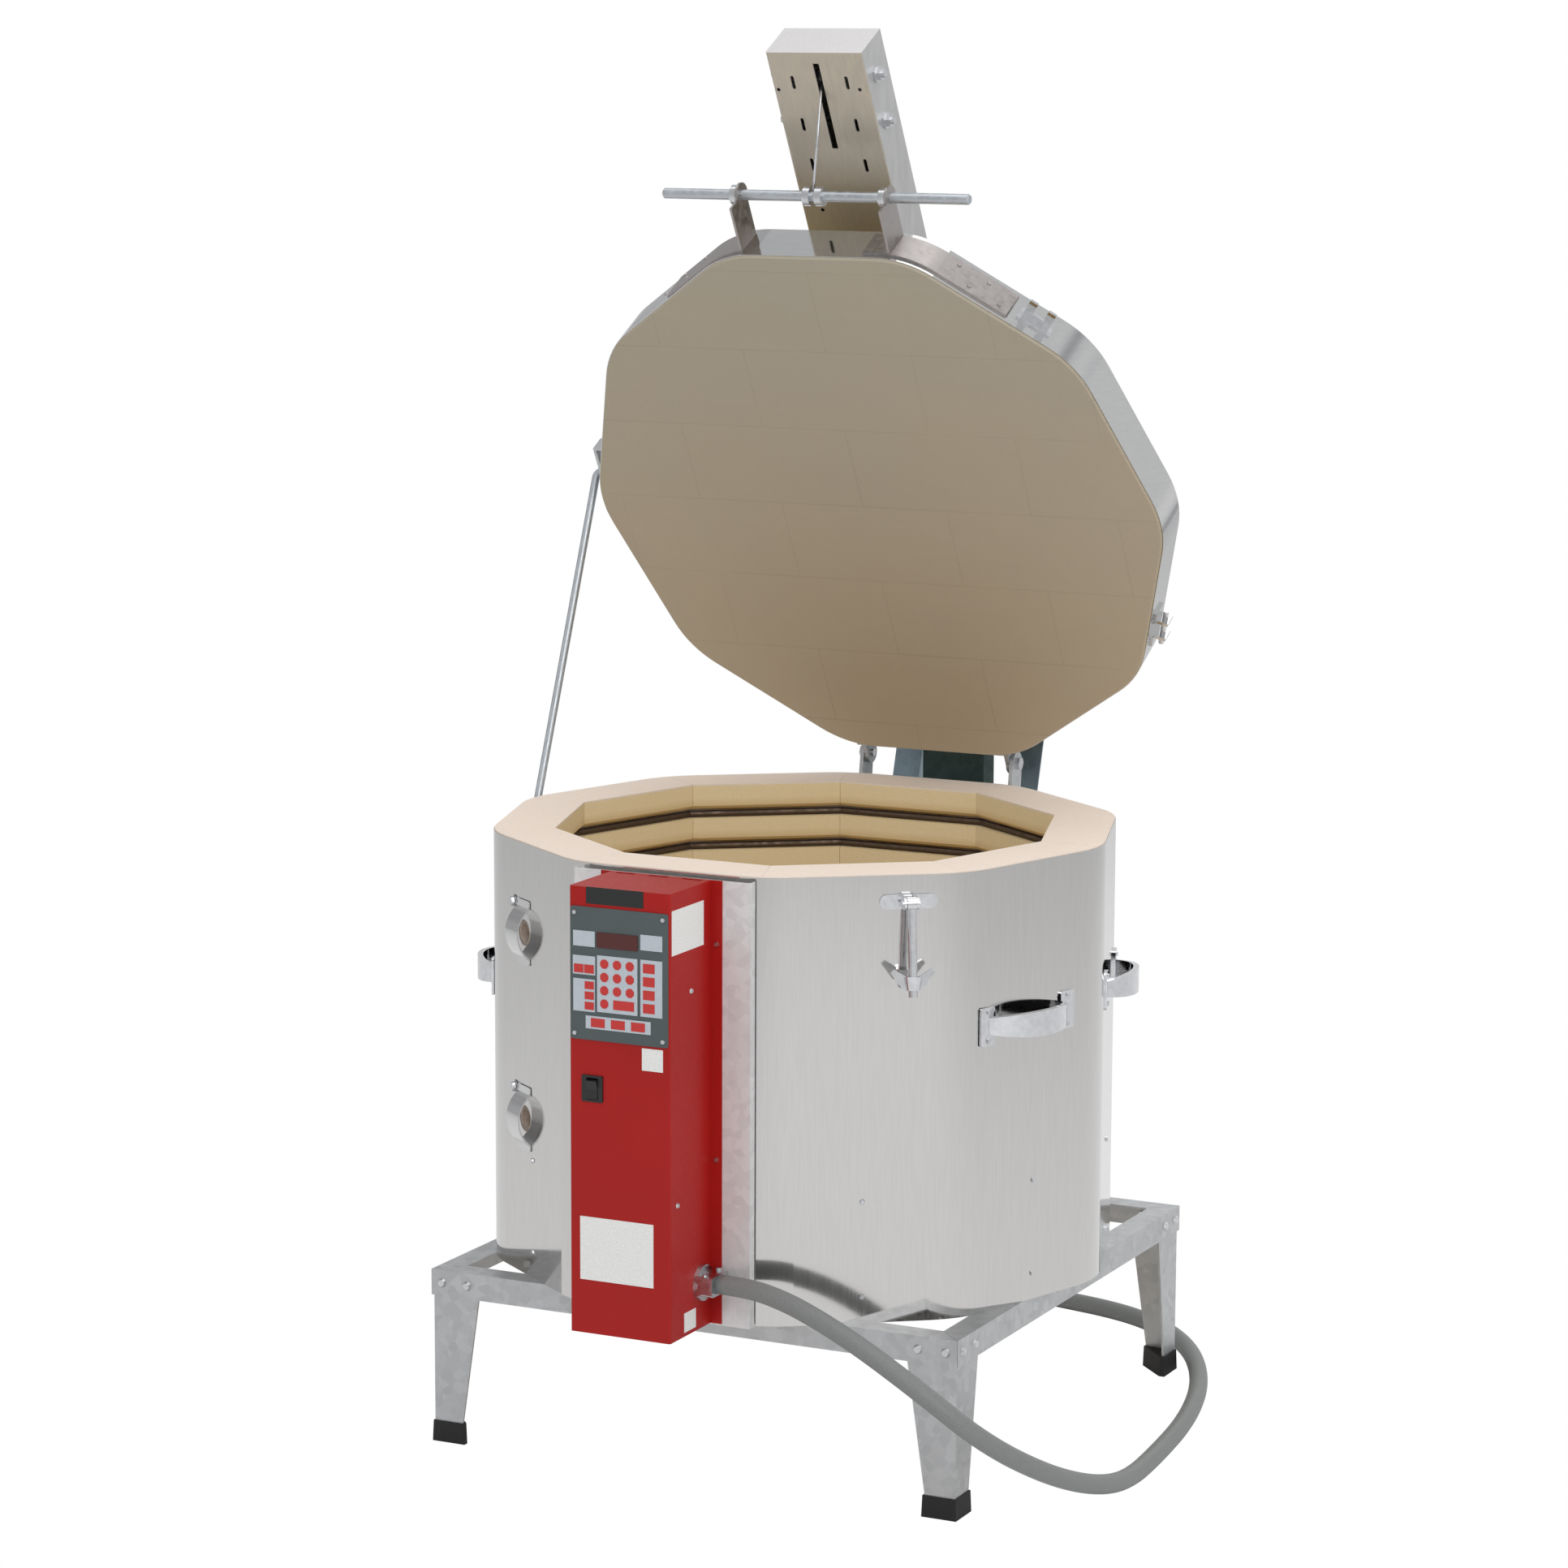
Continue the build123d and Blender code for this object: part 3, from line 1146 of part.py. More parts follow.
with BuildPart() as hinge_pins:
    for side in (-1, 1):
        inner = HINGE_SPREAD - HINGE_PLATE - 0.4
        with BuildSketch(Plane.YZ.offset(side * (inner - 3))):
            with Locations((HINGE_Y, HINGE_Z)):
                Circle(HINGE_PIN_RADIUS)
        extrude(amount=side * (2 * HINGE_PLATE + 7))
        with BuildSketch(Plane.YZ.offset(side * (HINGE_SPREAD + HINGE_PLATE))):
            with Locations((HINGE_Y, HINGE_Z)):
                RegularPolygon(1.7 * HINGE_PIN_RADIUS, 6)
        extrude(amount=side * 5)
save(hinge_pins.part, "hinge_pins")


# Prop rod on the left side, with its foot bracket and the catch on the lid

PROP_FOOT_Z = RIM - PROP_BELOW_RIM
PROP_TOP_Y, PROP_TOP_Z = opened_point(PROP_CATCH_Y, LID_BOTTOM + PROP_CATCH_LIFT)
with BuildPart() as prop_rod:
    with BuildLine():
        prop_path = FilletPolyline(
            (PROP_X + PROP_END, PROP_FOOT_Y, PROP_FOOT_Z),
            (PROP_X, PROP_FOOT_Y, PROP_FOOT_Z),
            (PROP_X, PROP_TOP_Y, PROP_TOP_Z),
            (PROP_X + PROP_END, PROP_TOP_Y, PROP_TOP_Z),
            radius=PROP_BEND,
        )
    with BuildSketch(Plane((PROP_X + PROP_END, PROP_FOOT_Y, PROP_FOOT_Z), z_dir=(-1, 0, 0))):
        Circle(PROP_RADIUS)
    sweep(path=prop_path)
save(prop_rod.part, "prop_rod")


def prop_bracket(side_direction, pivot_y, pivot_z, sign):
    """A small bracket on one side of the left corner: a flange, a web and an ear for the rod."""
    flange = face_plane(side_direction, pivot_z)
    ear_x = PROP_X + PROP_RADIUS + 6
    web_y = sign * PROP_WEB_Y
    ear_length = abs(web_y - pivot_y) + 15.5
    with BuildPart() as bracket:
        with BuildSketch(flange):
            with Locations((sign * PROP_WEB_Y, 0)):
                Rectangle(36, 34)
        extrude(amount=3)
        with BuildSketch(Plane.XY.offset(pivot_z - 12)):
            with Locations((ear_x, web_y)):
                Rectangle(PROP_WEB, 3, align=(Align.MIN, Align.CENTER))
            with Locations((ear_x, pivot_y - sign * 14)):
                Rectangle(4, ear_length, align=(Align.MIN, Align.MIN if sign > 0 else Align.MAX))
        extrude(amount=24)
    return bracket.part


PROP_WEB_Y = 58
PROP_WEB = 21

with BuildPart() as prop_foot_bracket:
    add(prop_bracket(LEFT_REAR, PROP_FOOT_Y, PROP_FOOT_Z, 1))
    with BuildSketch(Plane.YZ.offset(PROP_X)):
        with Locations((PROP_FOOT_Y, PROP_FOOT_Z)):
            Circle(PROP_RADIUS + RUNNING_CLEARANCE)
    extrude(amount=20, mode=Mode.SUBTRACT)
save(prop_foot_bracket.part, "prop_foot_bracket")

PROP_CATCH_Z = LID_BOTTOM + PROP_CATCH_LIFT
with BuildPart() as prop_catch:
    add(prop_bracket(LEFT, PROP_CATCH_Y, PROP_CATCH_Z, -1))
    with BuildSketch(Plane.YZ.offset(PROP_X)):
        with Locations(Location((PROP_CATCH_Y, PROP_CATCH_Z), PROP_SLOT_ANGLE)):
            Circle(PROP_RADIUS + 0.5)
            Rectangle(40, 2 * PROP_RADIUS + 1, align=(Align.MIN, Align.CENTER))
            with BuildLine():
                Polyline((0, -PROP_RADIUS), (40, -PROP_RADIUS - 3), (40, PROP_RADIUS + 3), (0, PROP_RADIUS), close=True)
            make_face()
    extrude(amount=20, mode=Mode.SUBTRACT)
save(opened(prop_catch.part), "prop_catch")


# Spring tower: drawn lying level with the closed lid, then leaned with the same turn


def lying_plane(height):
    """A level plane above the closed lid's underside, in the tower's lying pose."""
    return Plane.XY.offset(RIM + height)


TOWER_TOP_Y = BODY_APOTHEM - TOWER_TOP_REACH
TOWER_FOOT_Y = BODY_APOTHEM - TOWER_FOOT_REACH
TOWER_LENGTH = TOWER_FOOT_Y - TOWER_TOP_Y
TOWER_BACK = TOWER_LIFT + TOWER_DEPTH
PULLEY_Y = TOWER_TOP_Y + PULLEY_BELOW_TOP
PULLEY_Z = RIM + TOWER_LIFT + PULLEY_BACK
CABLE_WRAP = PULLEY_RADIUS - PULLEY_FLANGE
YOKE_WRAP = YOKE_SHEAVE_RADIUS - PULLEY_FLANGE
YOKE_Y = PULLEY_Y + YOKE_REST
YOKE_Z = PULLEY_Z + CABLE_WRAP - YOKE_WRAP
ANCHOR_Y = PULLEY_Y + ANCHOR_BELOW_PULLEY
ANCHOR_Z = YOKE_Z - YOKE_WRAP

with BuildPart() as tower_housing:
    with BuildSketch(lying_plane(TOWER_LIFT)):
        with Locations((0, TOWER_TOP_Y)):
            Rectangle(TOWER_WIDTH, TOWER_LENGTH, align=(Align.CENTER, Align.MIN))
    extrude(amount=TOWER_DEPTH - TOWER_SHEET)
    fillet(tower_housing.edges().filter_by(Axis.Y).group_by(Axis.Z)[0], 2.5)
    with BuildSketch(lying_plane(TOWER_LIFT + TOWER_SHEET)):
        with Locations((0, TOWER_TOP_Y + TOWER_SHEET)):
            Rectangle(
                TOWER_WIDTH - 2 * TOWER_SHEET,
                TOWER_LENGTH - 2 * TOWER_SHEET,
                align=(Align.CENTER, Align.MIN),
            )
    extrude(amount=TOWER_DEPTH, mode=Mode.SUBTRACT)
    with BuildSketch(lying_plane(TOWER_LIFT - 1)):
        with Locations((0, TOWER_TOP_Y + 15)):
            Rectangle(8, 117, align=(Align.CENTER, Align.MIN))
        for down in (41, 99, 155):
            with Locations((-SPRING_SPREAD, TOWER_TOP_Y + down), (SPRING_SPREAD, TOWER_TOP_Y + down)):
                SlotOverall(18, 4.5, rotation=90)
        with Locations((-58, TOWER_TOP_Y + 51), (51, TOWER_TOP_Y + 50), (-37, TOWER_TOP_Y + 219)):
            Circle(2.5)
    extrude(amount=3 * TOWER_SHEET, mode=Mode.SUBTRACT)
    with BuildSketch(Plane.YZ):
        with Locations((PULLEY_Y, PULLEY_Z), (ANCHOR_Y, ANCHOR_Z)):
            Circle(AXLE_RADIUS)
    extrude(amount=TOWER_WIDTH, both=True, mode=Mode.SUBTRACT)
save(opened(tower_housing.part), "tower_housing")

with BuildPart() as tower_back_cover:
    with BuildSketch(lying_plane(TOWER_BACK - TOWER_SHEET)):
        with Locations((0, TOWER_TOP_Y)):
            Rectangle(TOWER_WIDTH, TOWER_LENGTH, align=(Align.CENTER, Align.MIN))
    extrude(amount=TOWER_SHEET)
save(opened(tower_back_cover.part), "tower_back_cover")

tower_screw_planes = []
for side in (-1, 1):
    for step in range(4):
        down = 30 + step * (TOWER_LENGTH - 170) / 3
        point = (side * (TOWER_WIDTH / 2 - 8), TOWER_TOP_Y + down, RIM + TOWER_BACK)
        tower_screw_planes.append(Plane(point, x_dir=(1, 0, 0), z_dir=(0, 0, 1)))
with BuildPart() as small_screws:
    add(screw_heads(jacket_screw_planes + cover_screw_planes + panel_screw_planes + handle_screw_planes))
    add(opened(screw_heads(tower_screw_planes)))
save(small_screws.part, "small_screws")


def through_bolt(y, z):
    """A bolt across the tower with a washer and a nut outside each of its walls."""
    half = TOWER_WIDTH / 2
    with BuildPart() as bolt:
        with BuildSketch(Plane.YZ):
            with Locations((y, z)):
                Circle(AXLE_RADIUS)
        extrude(amount=half + 12, both=True)
        for side in (-1, 1):
            for start, radius, sides, width in ((0, 11, 14, 2), (2, 9, 6, 6)):
                with BuildSketch(Plane.YZ.offset(side * (half + start))):
                    with Locations((y, z)):
                        RegularPolygon(radius, sides)
                extrude(amount=side * width)
    return bolt.part


def sheave(y, z, radius):
    """A grooved pulley that turns about an axle along X."""
    half = 5
    groove = radius - PULLEY_FLANGE - CABLE_RADIUS - 0.5
    with BuildPart() as wheel:
        with BuildSketch(Plane((0, y, z))):
            with BuildLine():
                Polyline(
                    (-half, AXLE_RADIUS + RUNNING_CLEARANCE),
                    (-half, radius),
                    (-1.9, radius),
                    (-1.9, groove),
                    (1.9, groove),
                    (1.9, radius),
                    (half, radius),
                    (half, AXLE_RADIUS + RUNNING_CLEARANCE),
                    close=True,
                )
            make_face()
        revolve(axis=Axis((0, y, z), (1, 0, 0)))
    return wheel.part


with BuildPart() as tower_bolts:
    add(through_bolt(PULLEY_Y, PULLEY_Z))
    add(through_bolt(ANCHOR_Y, ANCHOR_Z))
save(opened(tower_bolts.part), "tower_bolts")

save(opened(sheave(PULLEY_Y, PULLEY_Z, PULLEY_RADIUS)), "top_pulley")

save(opened(sheave(YOKE_Y, YOKE_Z, YOKE_SHEAVE_RADIUS)), "yoke_sheave")

YOKE_TAIL = 40
with BuildPart() as spring_yoke:
    with BuildSketch(Plane.YZ.offset(-8.5)):
        with Locations((YOKE_Y - 12, YOKE_Z)):
            Rectangle(YOKE_TAIL + 12, 20, align=(Align.MIN, Align.CENTER))
    extrude(amount=2.5)
    with BuildSketch(Plane.YZ.offset(6)):
        with Locations((YOKE_Y - 12, YOKE_Z)):
            Rectangle(YOKE_TAIL + 12, 20, align=(Align.MIN, Align.CENTER))
    extrude(amount=2.5)
    with BuildSketch(Plane.YZ):
        with Locations((YOKE_Y, YOKE_Z)):
            Circle(AXLE_RADIUS)
    extrude(amount=8.5, both=True)
    with BuildSketch(Plane.YZ):
        with Locations((YOKE_Y + YOKE_TAIL, YOKE_Z)):
            Rectangle(6, 20, align=(Align.MAX, Align.CENTER))
    extrude(amount=SPRING_SPREAD + 12, both=True)
save(opened(spring_yoke.part), "spring_yoke")

SPRING_START_Y = YOKE_Y + YOKE_TAIL + 0.2
SPRING_END_Y = TOWER_FOOT_Y - TOWER_SHEET - 0.2
with BuildPart() as counterbalance_springs:
    for side in (-1, 1):
        with BuildSketch(Plane.XZ.offset(-SPRING_START_Y)):
            with Locations((side * SPRING_SPREAD, YOKE_Z)):
                Circle(SPRING_RADIUS)
                Circle(SPRING_RADIUS - SPRING_WIRE, mode=Mode.SUBTRACT)
        extrude(amount=-(SPRING_END_Y - SPRING_START_Y))
save(opened(counterbalance_springs.part), "counterbalance_springs")


def tangent_angle(centre, radius, point):
    """The angle, seen from a circle's centre, of the upper tangent point towards a point."""
    away_y = point[0] - centre[0]
    away_z = point[1] - centre[1]
    return atan2(away_z, away_y) - acos(radius / hypot(away_y, away_z))


wrap_angle = tangent_angle((PULLEY_Y, PULLEY_Z), CABLE_WRAP, (BAR_Y - BAR_RADIUS - 2, BAR_Z))
cable_start = Vector(0, BAR_Y - BAR_RADIUS - 2, BAR_Z)
wrap_start = Vector(0, PULLEY_Y + CABLE_WRAP * cos(wrap_angle), PULLEY_Z + CABLE_WRAP * sin(wrap_angle))
wrap_top = Vector(0, PULLEY_Y - CABLE_WRAP, PULLEY_Z)
wrap_end = Vector(0, PULLEY_Y, PULLEY_Z + CABLE_WRAP)
yoke_start = Vector(0, YOKE_Y, YOKE_Z + YOKE_WRAP)
yoke_turn = Vector(0, YOKE_Y + YOKE_WRAP, YOKE_Z)
yoke_end = Vector(0, YOKE_Y, YOKE_Z - YOKE_WRAP)
cable_end = Vector(0, ANCHOR_Y + AXLE_RADIUS + 0.3, ANCHOR_Z)
with BuildPart() as lift_cable:
    with BuildLine():
        Line(cable_start, wrap_start)
        ThreePointArc(wrap_start, wrap_top, wrap_end)
        Line(wrap_end, yoke_start)
        ThreePointArc(yoke_start, yoke_turn, yoke_end)
        Line(yoke_end, cable_end)
    with BuildSketch(Plane(cable_start, z_dir=wrap_start - cable_start)):
        RegularPolygon(CABLE_RADIUS, 8)
    sweep()
save(opened(lift_cable.part), "lift_cable")

CRADLE_SHEET = 2.5
with BuildPart() as tower_cradle:
    for side in (-1, 1):
        with BuildSketch(Plane.YZ.offset(side * TOWER_WIDTH / 2)):
            with BuildLine():
                Polyline(
                    (215, RIM + TOWER_LIFT + 4),
                    (215, RIM + TOWER_BACK + CRADLE_SHEET),
                    (290, RIM + TOWER_BACK + 54),
                    (365, RIM + TOWER_BACK + 54),
                    (365, RIM + TOWER_LIFT + 4),
                    close=True,
                )
            make_face()
        extrude(amount=side * CRADLE_SHEET)
    with BuildSketch(lying_plane(TOWER_BACK)):
        with Locations((0, 215)):
            Rectangle(TOWER_WIDTH, TOWER_FOOT_Y - 215 + CRADLE_SHEET, align=(Align.CENTER, Align.MIN))
    extrude(amount=CRADLE_SHEET)
    with BuildSketch(Plane.XZ.offset(-TOWER_FOOT_Y)):
        with Locations((0, RIM + TOWER_LIFT + 4)):
            Rectangle(TOWER_WIDTH, TOWER_DEPTH - 4 + CRADLE_SHEET, align=(Align.CENTER, Align.MIN))
    extrude(amount=-CRADLE_SHEET)
save(opened(tower_cradle.part), "tower_cradle")

STRUT_SLOPE = tan(radians(STRUT_LEAN))
STRUT_INNER_X = TOWER_WIDTH / 2 + CRADLE_SHEET


def strut_y(height, edge):
    """How far back a strut's front (-1) or rear (1) edge lies at a height."""
    return STRUT_RIM_Y + edge * STRUT_DEPTH / 2 + (height - RIM) * STRUT_SLOPE


def tower_strut(side):
    """A leaning angle section between the jacket's rear and the tower's cradle."""
    foot_front = RIM - (strut_y(RIM, -1) - BODY_APOTHEM) / STRUT_SLOPE
    foot_rear = RIM - (strut_y(RIM, 1) - BODY_APOTHEM) / STRUT_SLOPE
    corners = (
        (BODY_APOTHEM, foot_front),
        (strut_y(STRUT_TOP, -1), STRUT_TOP),
        (strut_y(STRUT_TOP, 1), STRUT_TOP),
        (BODY_APOTHEM, foot_rear),
    )
    with BuildPart() as strut:
        with BuildSketch(Plane.YZ.offset(side * STRUT_INNER_X)):
            with BuildLine():
                Polyline(*corners, close=True)
            make_face()
        extrude(amount=side * STRUT_SHEET)
        with BuildSketch(Plane.YZ.offset(side * STRUT_INNER_X)):
            with BuildLine():
                Polyline(
                    corners[0],
                    corners[1],
                    (corners[1][0] + STRUT_SHEET, STRUT_TOP),
                    (BODY_APOTHEM + STRUT_SHEET, foot_front),
                    close=True,
                )
            make_face()
        extrude(amount=side * STRUT_WIDTH)
    return strut.part


with BuildPart() as tower_struts:
    for side in (-1, 1):
        add(tower_strut(side))
save(tower_struts.part, "tower_struts")

NECK_WIDTH = 87
NECK_DEPTH = 34
NECK_FRONT = 440
NECK_BOTTOM = 560
with BuildPart() as tower_neck:
    with BuildSketch(Plane.XY.offset(NECK_BOTTOM)):
        with Locations((0, NECK_FRONT)):
            Rectangle(NECK_WIDTH, NECK_DEPTH, align=(Align.CENTER, Align.MIN))
    extrude(amount=NECK_HEIGHT)
    foot_corner = opened_point(TOWER_FOOT_Y + CRADLE_SHEET, RIM + TOWER_BACK)
    foot_plane = Plane((0, *foot_corner), x_dir=(1, 0, 0), z_dir=(0, -TOWER_UP_Y, -TOWER_UP_Z))
    split(bisect_by=foot_plane, keep=Keep.TOP)
    with BuildSketch(Plane.YZ):
        with BuildLine():
            Polyline(
                (BODY_APOTHEM, NECK_BOTTOM),
                (BODY_APOTHEM, NECK_BOTTOM + 90),
                (NECK_FRONT, NECK_BOTTOM + 30),
                (NECK_FRONT, NECK_BOTTOM),
                close=True,
            )
        make_face()
    extrude(amount=NECK_WIDTH / 2 - 6, both=True)
save(tower_neck.part, "tower_neck")


# Power cord: gland on the box's right side, the free cord round the stand, and its plug

with BuildPart() as cord_gland:
    gland = Plane((BOX_WIDTH / 2, CORD_EXIT_Y, CORD_EXIT_Z), x_dir=(0, 1, 0), z_dir=(1, 0, 0))
    with BuildSketch(gland):
        Circle(22)
    extrude(amount=5, taper=8)
    with BuildSketch(gland):
        RectangleRounded(42, 24, 4)
    extrude(amount=GLAND_LENGTH)
    with BuildSketch(gland.offset(-6)):
        Circle(CORD_RADIUS + 1.8)
    extrude(amount=6)
    for side in (-1, 1):
        with BuildSketch(Plane((BOX_WIDTH / 2 + 14, CORD_EXIT_Y + side * 18, CORD_EXIT_Z + 12))):
            RegularPolygon(3.5, 8)
        extrude(amount=3)
save(cord_gland.part, "cord_gland")


def rounded_radii(points):
    """A bend radius for every corner: as large as the shorter neighbouring run allows."""
    radii = []
    for before, here, after in zip(points, points[1:], points[2:]):
        first = Vector(*here) - Vector(*before)
        second = Vector(*after) - Vector(*here)
        half_turn = radians(first.get_angle(second)) / 2
        radii.append(0.45 * min(first.length, second.length) / tan(half_turn))
    return radii


cord_points = [
    (BOX_WIDTH / 2 + GLAND_LENGTH, CORD_EXIT_Y, CORD_EXIT_Z),
    (128, CORD_EXIT_Y, CORD_EXIT_Z),
    (176, -417, 266),
    (224, -426, 252),
    (276, -433, 231),
    (326, -438, 206),
    (372, -437, 178),
    (410, -425, 147),
    (440, -398, 118),
    (460, -358, 92),
    (473, -310, 68),
    (481, -257, 47),
    (486, -202, 30),
    (486, -146, 18),
    (483, -89, CORD_FLOOR),
    (479, -31, CORD_FLOOR),
    (473, 28, CORD_FLOOR),
    (466, 87, CORD_FLOOR),
    (456, 146, CORD_FLOOR),
    (443, 204, CORD_FLOOR),
    (427, 261, CORD_FLOOR),
    (407, 317, CORD_FLOOR),
    (383, 371, CORD_FLOOR),
    (354, 423, CORD_FLOOR),
    (319, 470, CORD_FLOOR),
    (278, 511, CORD_FLOOR),
    (230, 543, CORD_FLOOR),
    (176, 564, CORD_FLOOR),
    (119, 575, 12.6),
    (61, 577, 16),
    (4, 569, PLUG_AXIS),
    (-50, 551, PLUG_AXIS),
]
cord_radii = rounded_radii(cord_points)
print("cord bend radii", [round(radius) for radius in cord_radii])
cord_length = sum((Vector(*b) - Vector(*a)).length for a, b in zip(cord_points, cord_points[1:]))
print("cord length about", round(cord_length))
with BuildPart() as power_cord:
    with BuildLine():
        FilletPolyline(*cord_points, radius=cord_radii)
    with BuildSketch(Plane(cord_points[0], z_dir=Vector(*cord_points[1]) - Vector(*cord_points[0]))):
        Circle(CORD_RADIUS)
    sweep()
cord_share = power_cord.part.volume / (pi * CORD_RADIUS**2 * cord_length)
print("cord volume against section times length", round(cord_share, 3))
save(power_cord.part, "power_cord")

plug_direction = (Vector(*cord_points[-1]) - Vector(*cord_points[-2])).normalized()
plug_axis = Plane(cord_points[-1], x_dir=plug_direction.cross(Vector(0, 0, 1)), z_dir=plug_direction)
with BuildPart() as power_plug:
    with BuildSketch(Plane(plug_axis.origin, x_dir=plug_axis.x_dir, z_dir=-plug_axis.y_dir)):
        with BuildLine():
            Polyline(
                (0, 0),
                (CORD_RADIUS + 1.5, 0),
                (CORD_RADIUS + 3, PLUG_LENGTH / 3),
                (PLUG_RADIUS, PLUG_LENGTH / 2),
                (PLUG_RADIUS, PLUG_LENGTH),
                (0, PLUG_LENGTH),
                close=True,
            )
        make_face()
    revolve(axis=Axis(plug_axis.origin, plug_axis.z_dir))
    with BuildSketch(plug_axis.offset(PLUG_LENGTH)):
        with Locations((-9, 0), (9, 0)):
            Rectangle(1.8, 9)
        with Locations((0, -11)):
            RegularPolygon(2.6, 12)
    extrude(amount=21)
save(power_plug.part, "power_plug")

for place, y, z in (
    ("hinge", HINGE_Y, HINGE_Z),
    ("pulley", *opened_point(PULLEY_Y, PULLEY_Z)),
    ("yoke", *opened_point(YOKE_Y, YOKE_Z)),
    ("prop foot", PROP_FOOT_Y, PROP_FOOT_Z),
    ("latch pivot height", 0, LATCH_Z),
    ("rocker", ROCKER_Y, ROCKER_Z),
    ("rim", 0, RIM),
):
    print(place, "y", round(y + ORIGIN_SHIFT.position.Y, 2), "z", round(z, 2))
print("origin shift", ORIGIN_SHIFT.position)
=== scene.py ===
import math

import bmesh
import bpy
from mathutils import Euler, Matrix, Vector


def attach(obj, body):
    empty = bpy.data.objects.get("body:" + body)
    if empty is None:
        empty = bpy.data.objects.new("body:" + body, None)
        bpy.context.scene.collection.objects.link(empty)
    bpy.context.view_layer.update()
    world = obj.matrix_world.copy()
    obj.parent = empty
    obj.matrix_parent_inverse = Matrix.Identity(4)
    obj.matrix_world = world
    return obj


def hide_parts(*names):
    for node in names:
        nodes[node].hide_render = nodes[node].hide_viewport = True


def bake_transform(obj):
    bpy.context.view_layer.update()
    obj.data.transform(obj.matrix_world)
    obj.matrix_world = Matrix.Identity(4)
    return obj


# Looks for the ten-sided kiln: materials, the free cord, the lift cable, light and camera.
# Metres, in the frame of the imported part.

# Where the firing chamber's axis stands in the frame
AXIS_X = 0.0117
AXIS_Y = -0.0392
CHAMBER_RADIUS = 0.297
FLOOR_TOP_Z = 0.293
COURSE_HEIGHT = 0.1143
GROOVE_HEIGHTS = (0.034, 0.076)

# The bevel over each groove, painted a warm ochre as shade, from the groove up, and the plain stretch
# below it
BEVEL_START = 0.004
BEVEL_END = 0.020
BEVEL_LEAD = 0.008

# Fired colour fades out between these distances outside the wall and below the rim
WALL_FADE = (0.018, 0.030)
RIM_FADE = (0.003, 0.001)
RIM_Z = 0.7502
LID_TURN = 61
LID_BRICK = (0.229, 0.114)
LID_JOINT = 0.0012
LID_TINT = (0.95, 1.65)

# The control box's front and right side, about the chamber's axis
BOX_FRONT = -0.4900
BOX_SIDE = 0.0650

# The keys' faces stand in front of this plane, the pads behind it
KEY_FRONT = AXIS_Y - 0.4922

# Painted light: the tower's top is paler than its sides; a painted reflection of the lid on its front
# fades between two heights
TOWER_TOP_PAINTED_LIGHT = (0.86, 0.84, 0.84)
TOWER_REFLECTION_FADE = (1.30, 1.72)

# The lift cable where it shows: from the top pulley to the bar's collars
CABLE_RADIUS = 0.0016
CABLE_TOP = (0, 0.0343, 1.6648)
CABLE_END = (0, 0.0090, 1.5207)
CABLE_REACH = 0.02
CABLE_SIDES = 12

# Camera fitted to the photo
CAMERA_PLACE = (AXIS_X + 2.4445, AXIS_Y - 5.0530, 1.7085)
CAMERA_TURN = (90 - 9.23, 0.21, 26.11)
CAMERA_LENS = 106.2

# Power cord, with its route about the chamber's axis
CORD_DIAMETER = 0.024
CORD_RIDGE = 0.0006
CORD_FLOOR = 0.0122
PLUG_AXIS = 0.0212
CORD_ROUTE = (
    (0.089, -0.411, 0.274),
    (0.128, -0.411, 0.274),
    (0.176, -0.417, 0.266),
    (0.224, -0.426, 0.252),
    (0.276, -0.433, 0.231),
    (0.326, -0.438, 0.206),
    (0.372, -0.437, 0.178),
    (0.410, -0.425, 0.147),
    (0.440, -0.398, 0.118),
    (0.460, -0.358, 0.092),
    (0.473, -0.310, 0.068),
    (0.481, -0.257, 0.047),
    (0.486, -0.202, 0.030),
    (0.486, -0.146, 0.018),
    (0.483, -0.089, CORD_FLOOR),
    (0.479, -0.031, CORD_FLOOR),
    (0.473, 0.028, CORD_FLOOR),
    (0.466, 0.087, CORD_FLOOR),
    (0.456, 0.146, CORD_FLOOR),
    (0.443, 0.204, CORD_FLOOR),
    (0.427, 0.261, CORD_FLOOR),
    (0.407, 0.317, CORD_FLOOR),
    (0.383, 0.371, CORD_FLOOR),
    (0.354, 0.423, CORD_FLOOR),
    (0.319, 0.470, CORD_FLOOR),
    (0.278, 0.511, CORD_FLOOR),
    (0.230, 0.543, CORD_FLOOR),
    (0.176, 0.564, CORD_FLOOR),
    (0.119, 0.575, 0.0126),
    (0.061, 0.577, 0.016),
    (0.004, 0.569, PLUG_AXIS),
    (-0.050, 0.551, PLUG_AXIS),
)

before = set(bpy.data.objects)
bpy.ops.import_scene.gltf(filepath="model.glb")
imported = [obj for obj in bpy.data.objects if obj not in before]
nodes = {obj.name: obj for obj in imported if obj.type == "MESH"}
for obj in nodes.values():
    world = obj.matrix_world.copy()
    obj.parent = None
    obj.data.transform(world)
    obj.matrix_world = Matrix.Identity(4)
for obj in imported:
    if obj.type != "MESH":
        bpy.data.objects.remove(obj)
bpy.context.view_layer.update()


# Helpers for node materials


def new_material(name):
    """An empty node material with its principled shader, as (material, tree, shader)."""
    material = bpy.data.materials.new(name)
    material.use_nodes = True
    tree = material.node_tree
    shader = tree.nodes["Principled BSDF"]
    return material, tree, shader


def place(tree, scale=(1, 1, 1)):
    """Object coordinates, stretched, as the start of a texture."""
    coordinates = tree.nodes.new("ShaderNodeTexCoord")
    mapping = tree.nodes.new("ShaderNodeMapping")
    mapping.inputs["Scale"].default_value = scale
    tree.links.new(coordinates.outputs["Object"], mapping.inputs["Vector"])
    return mapping.outputs["Vector"]


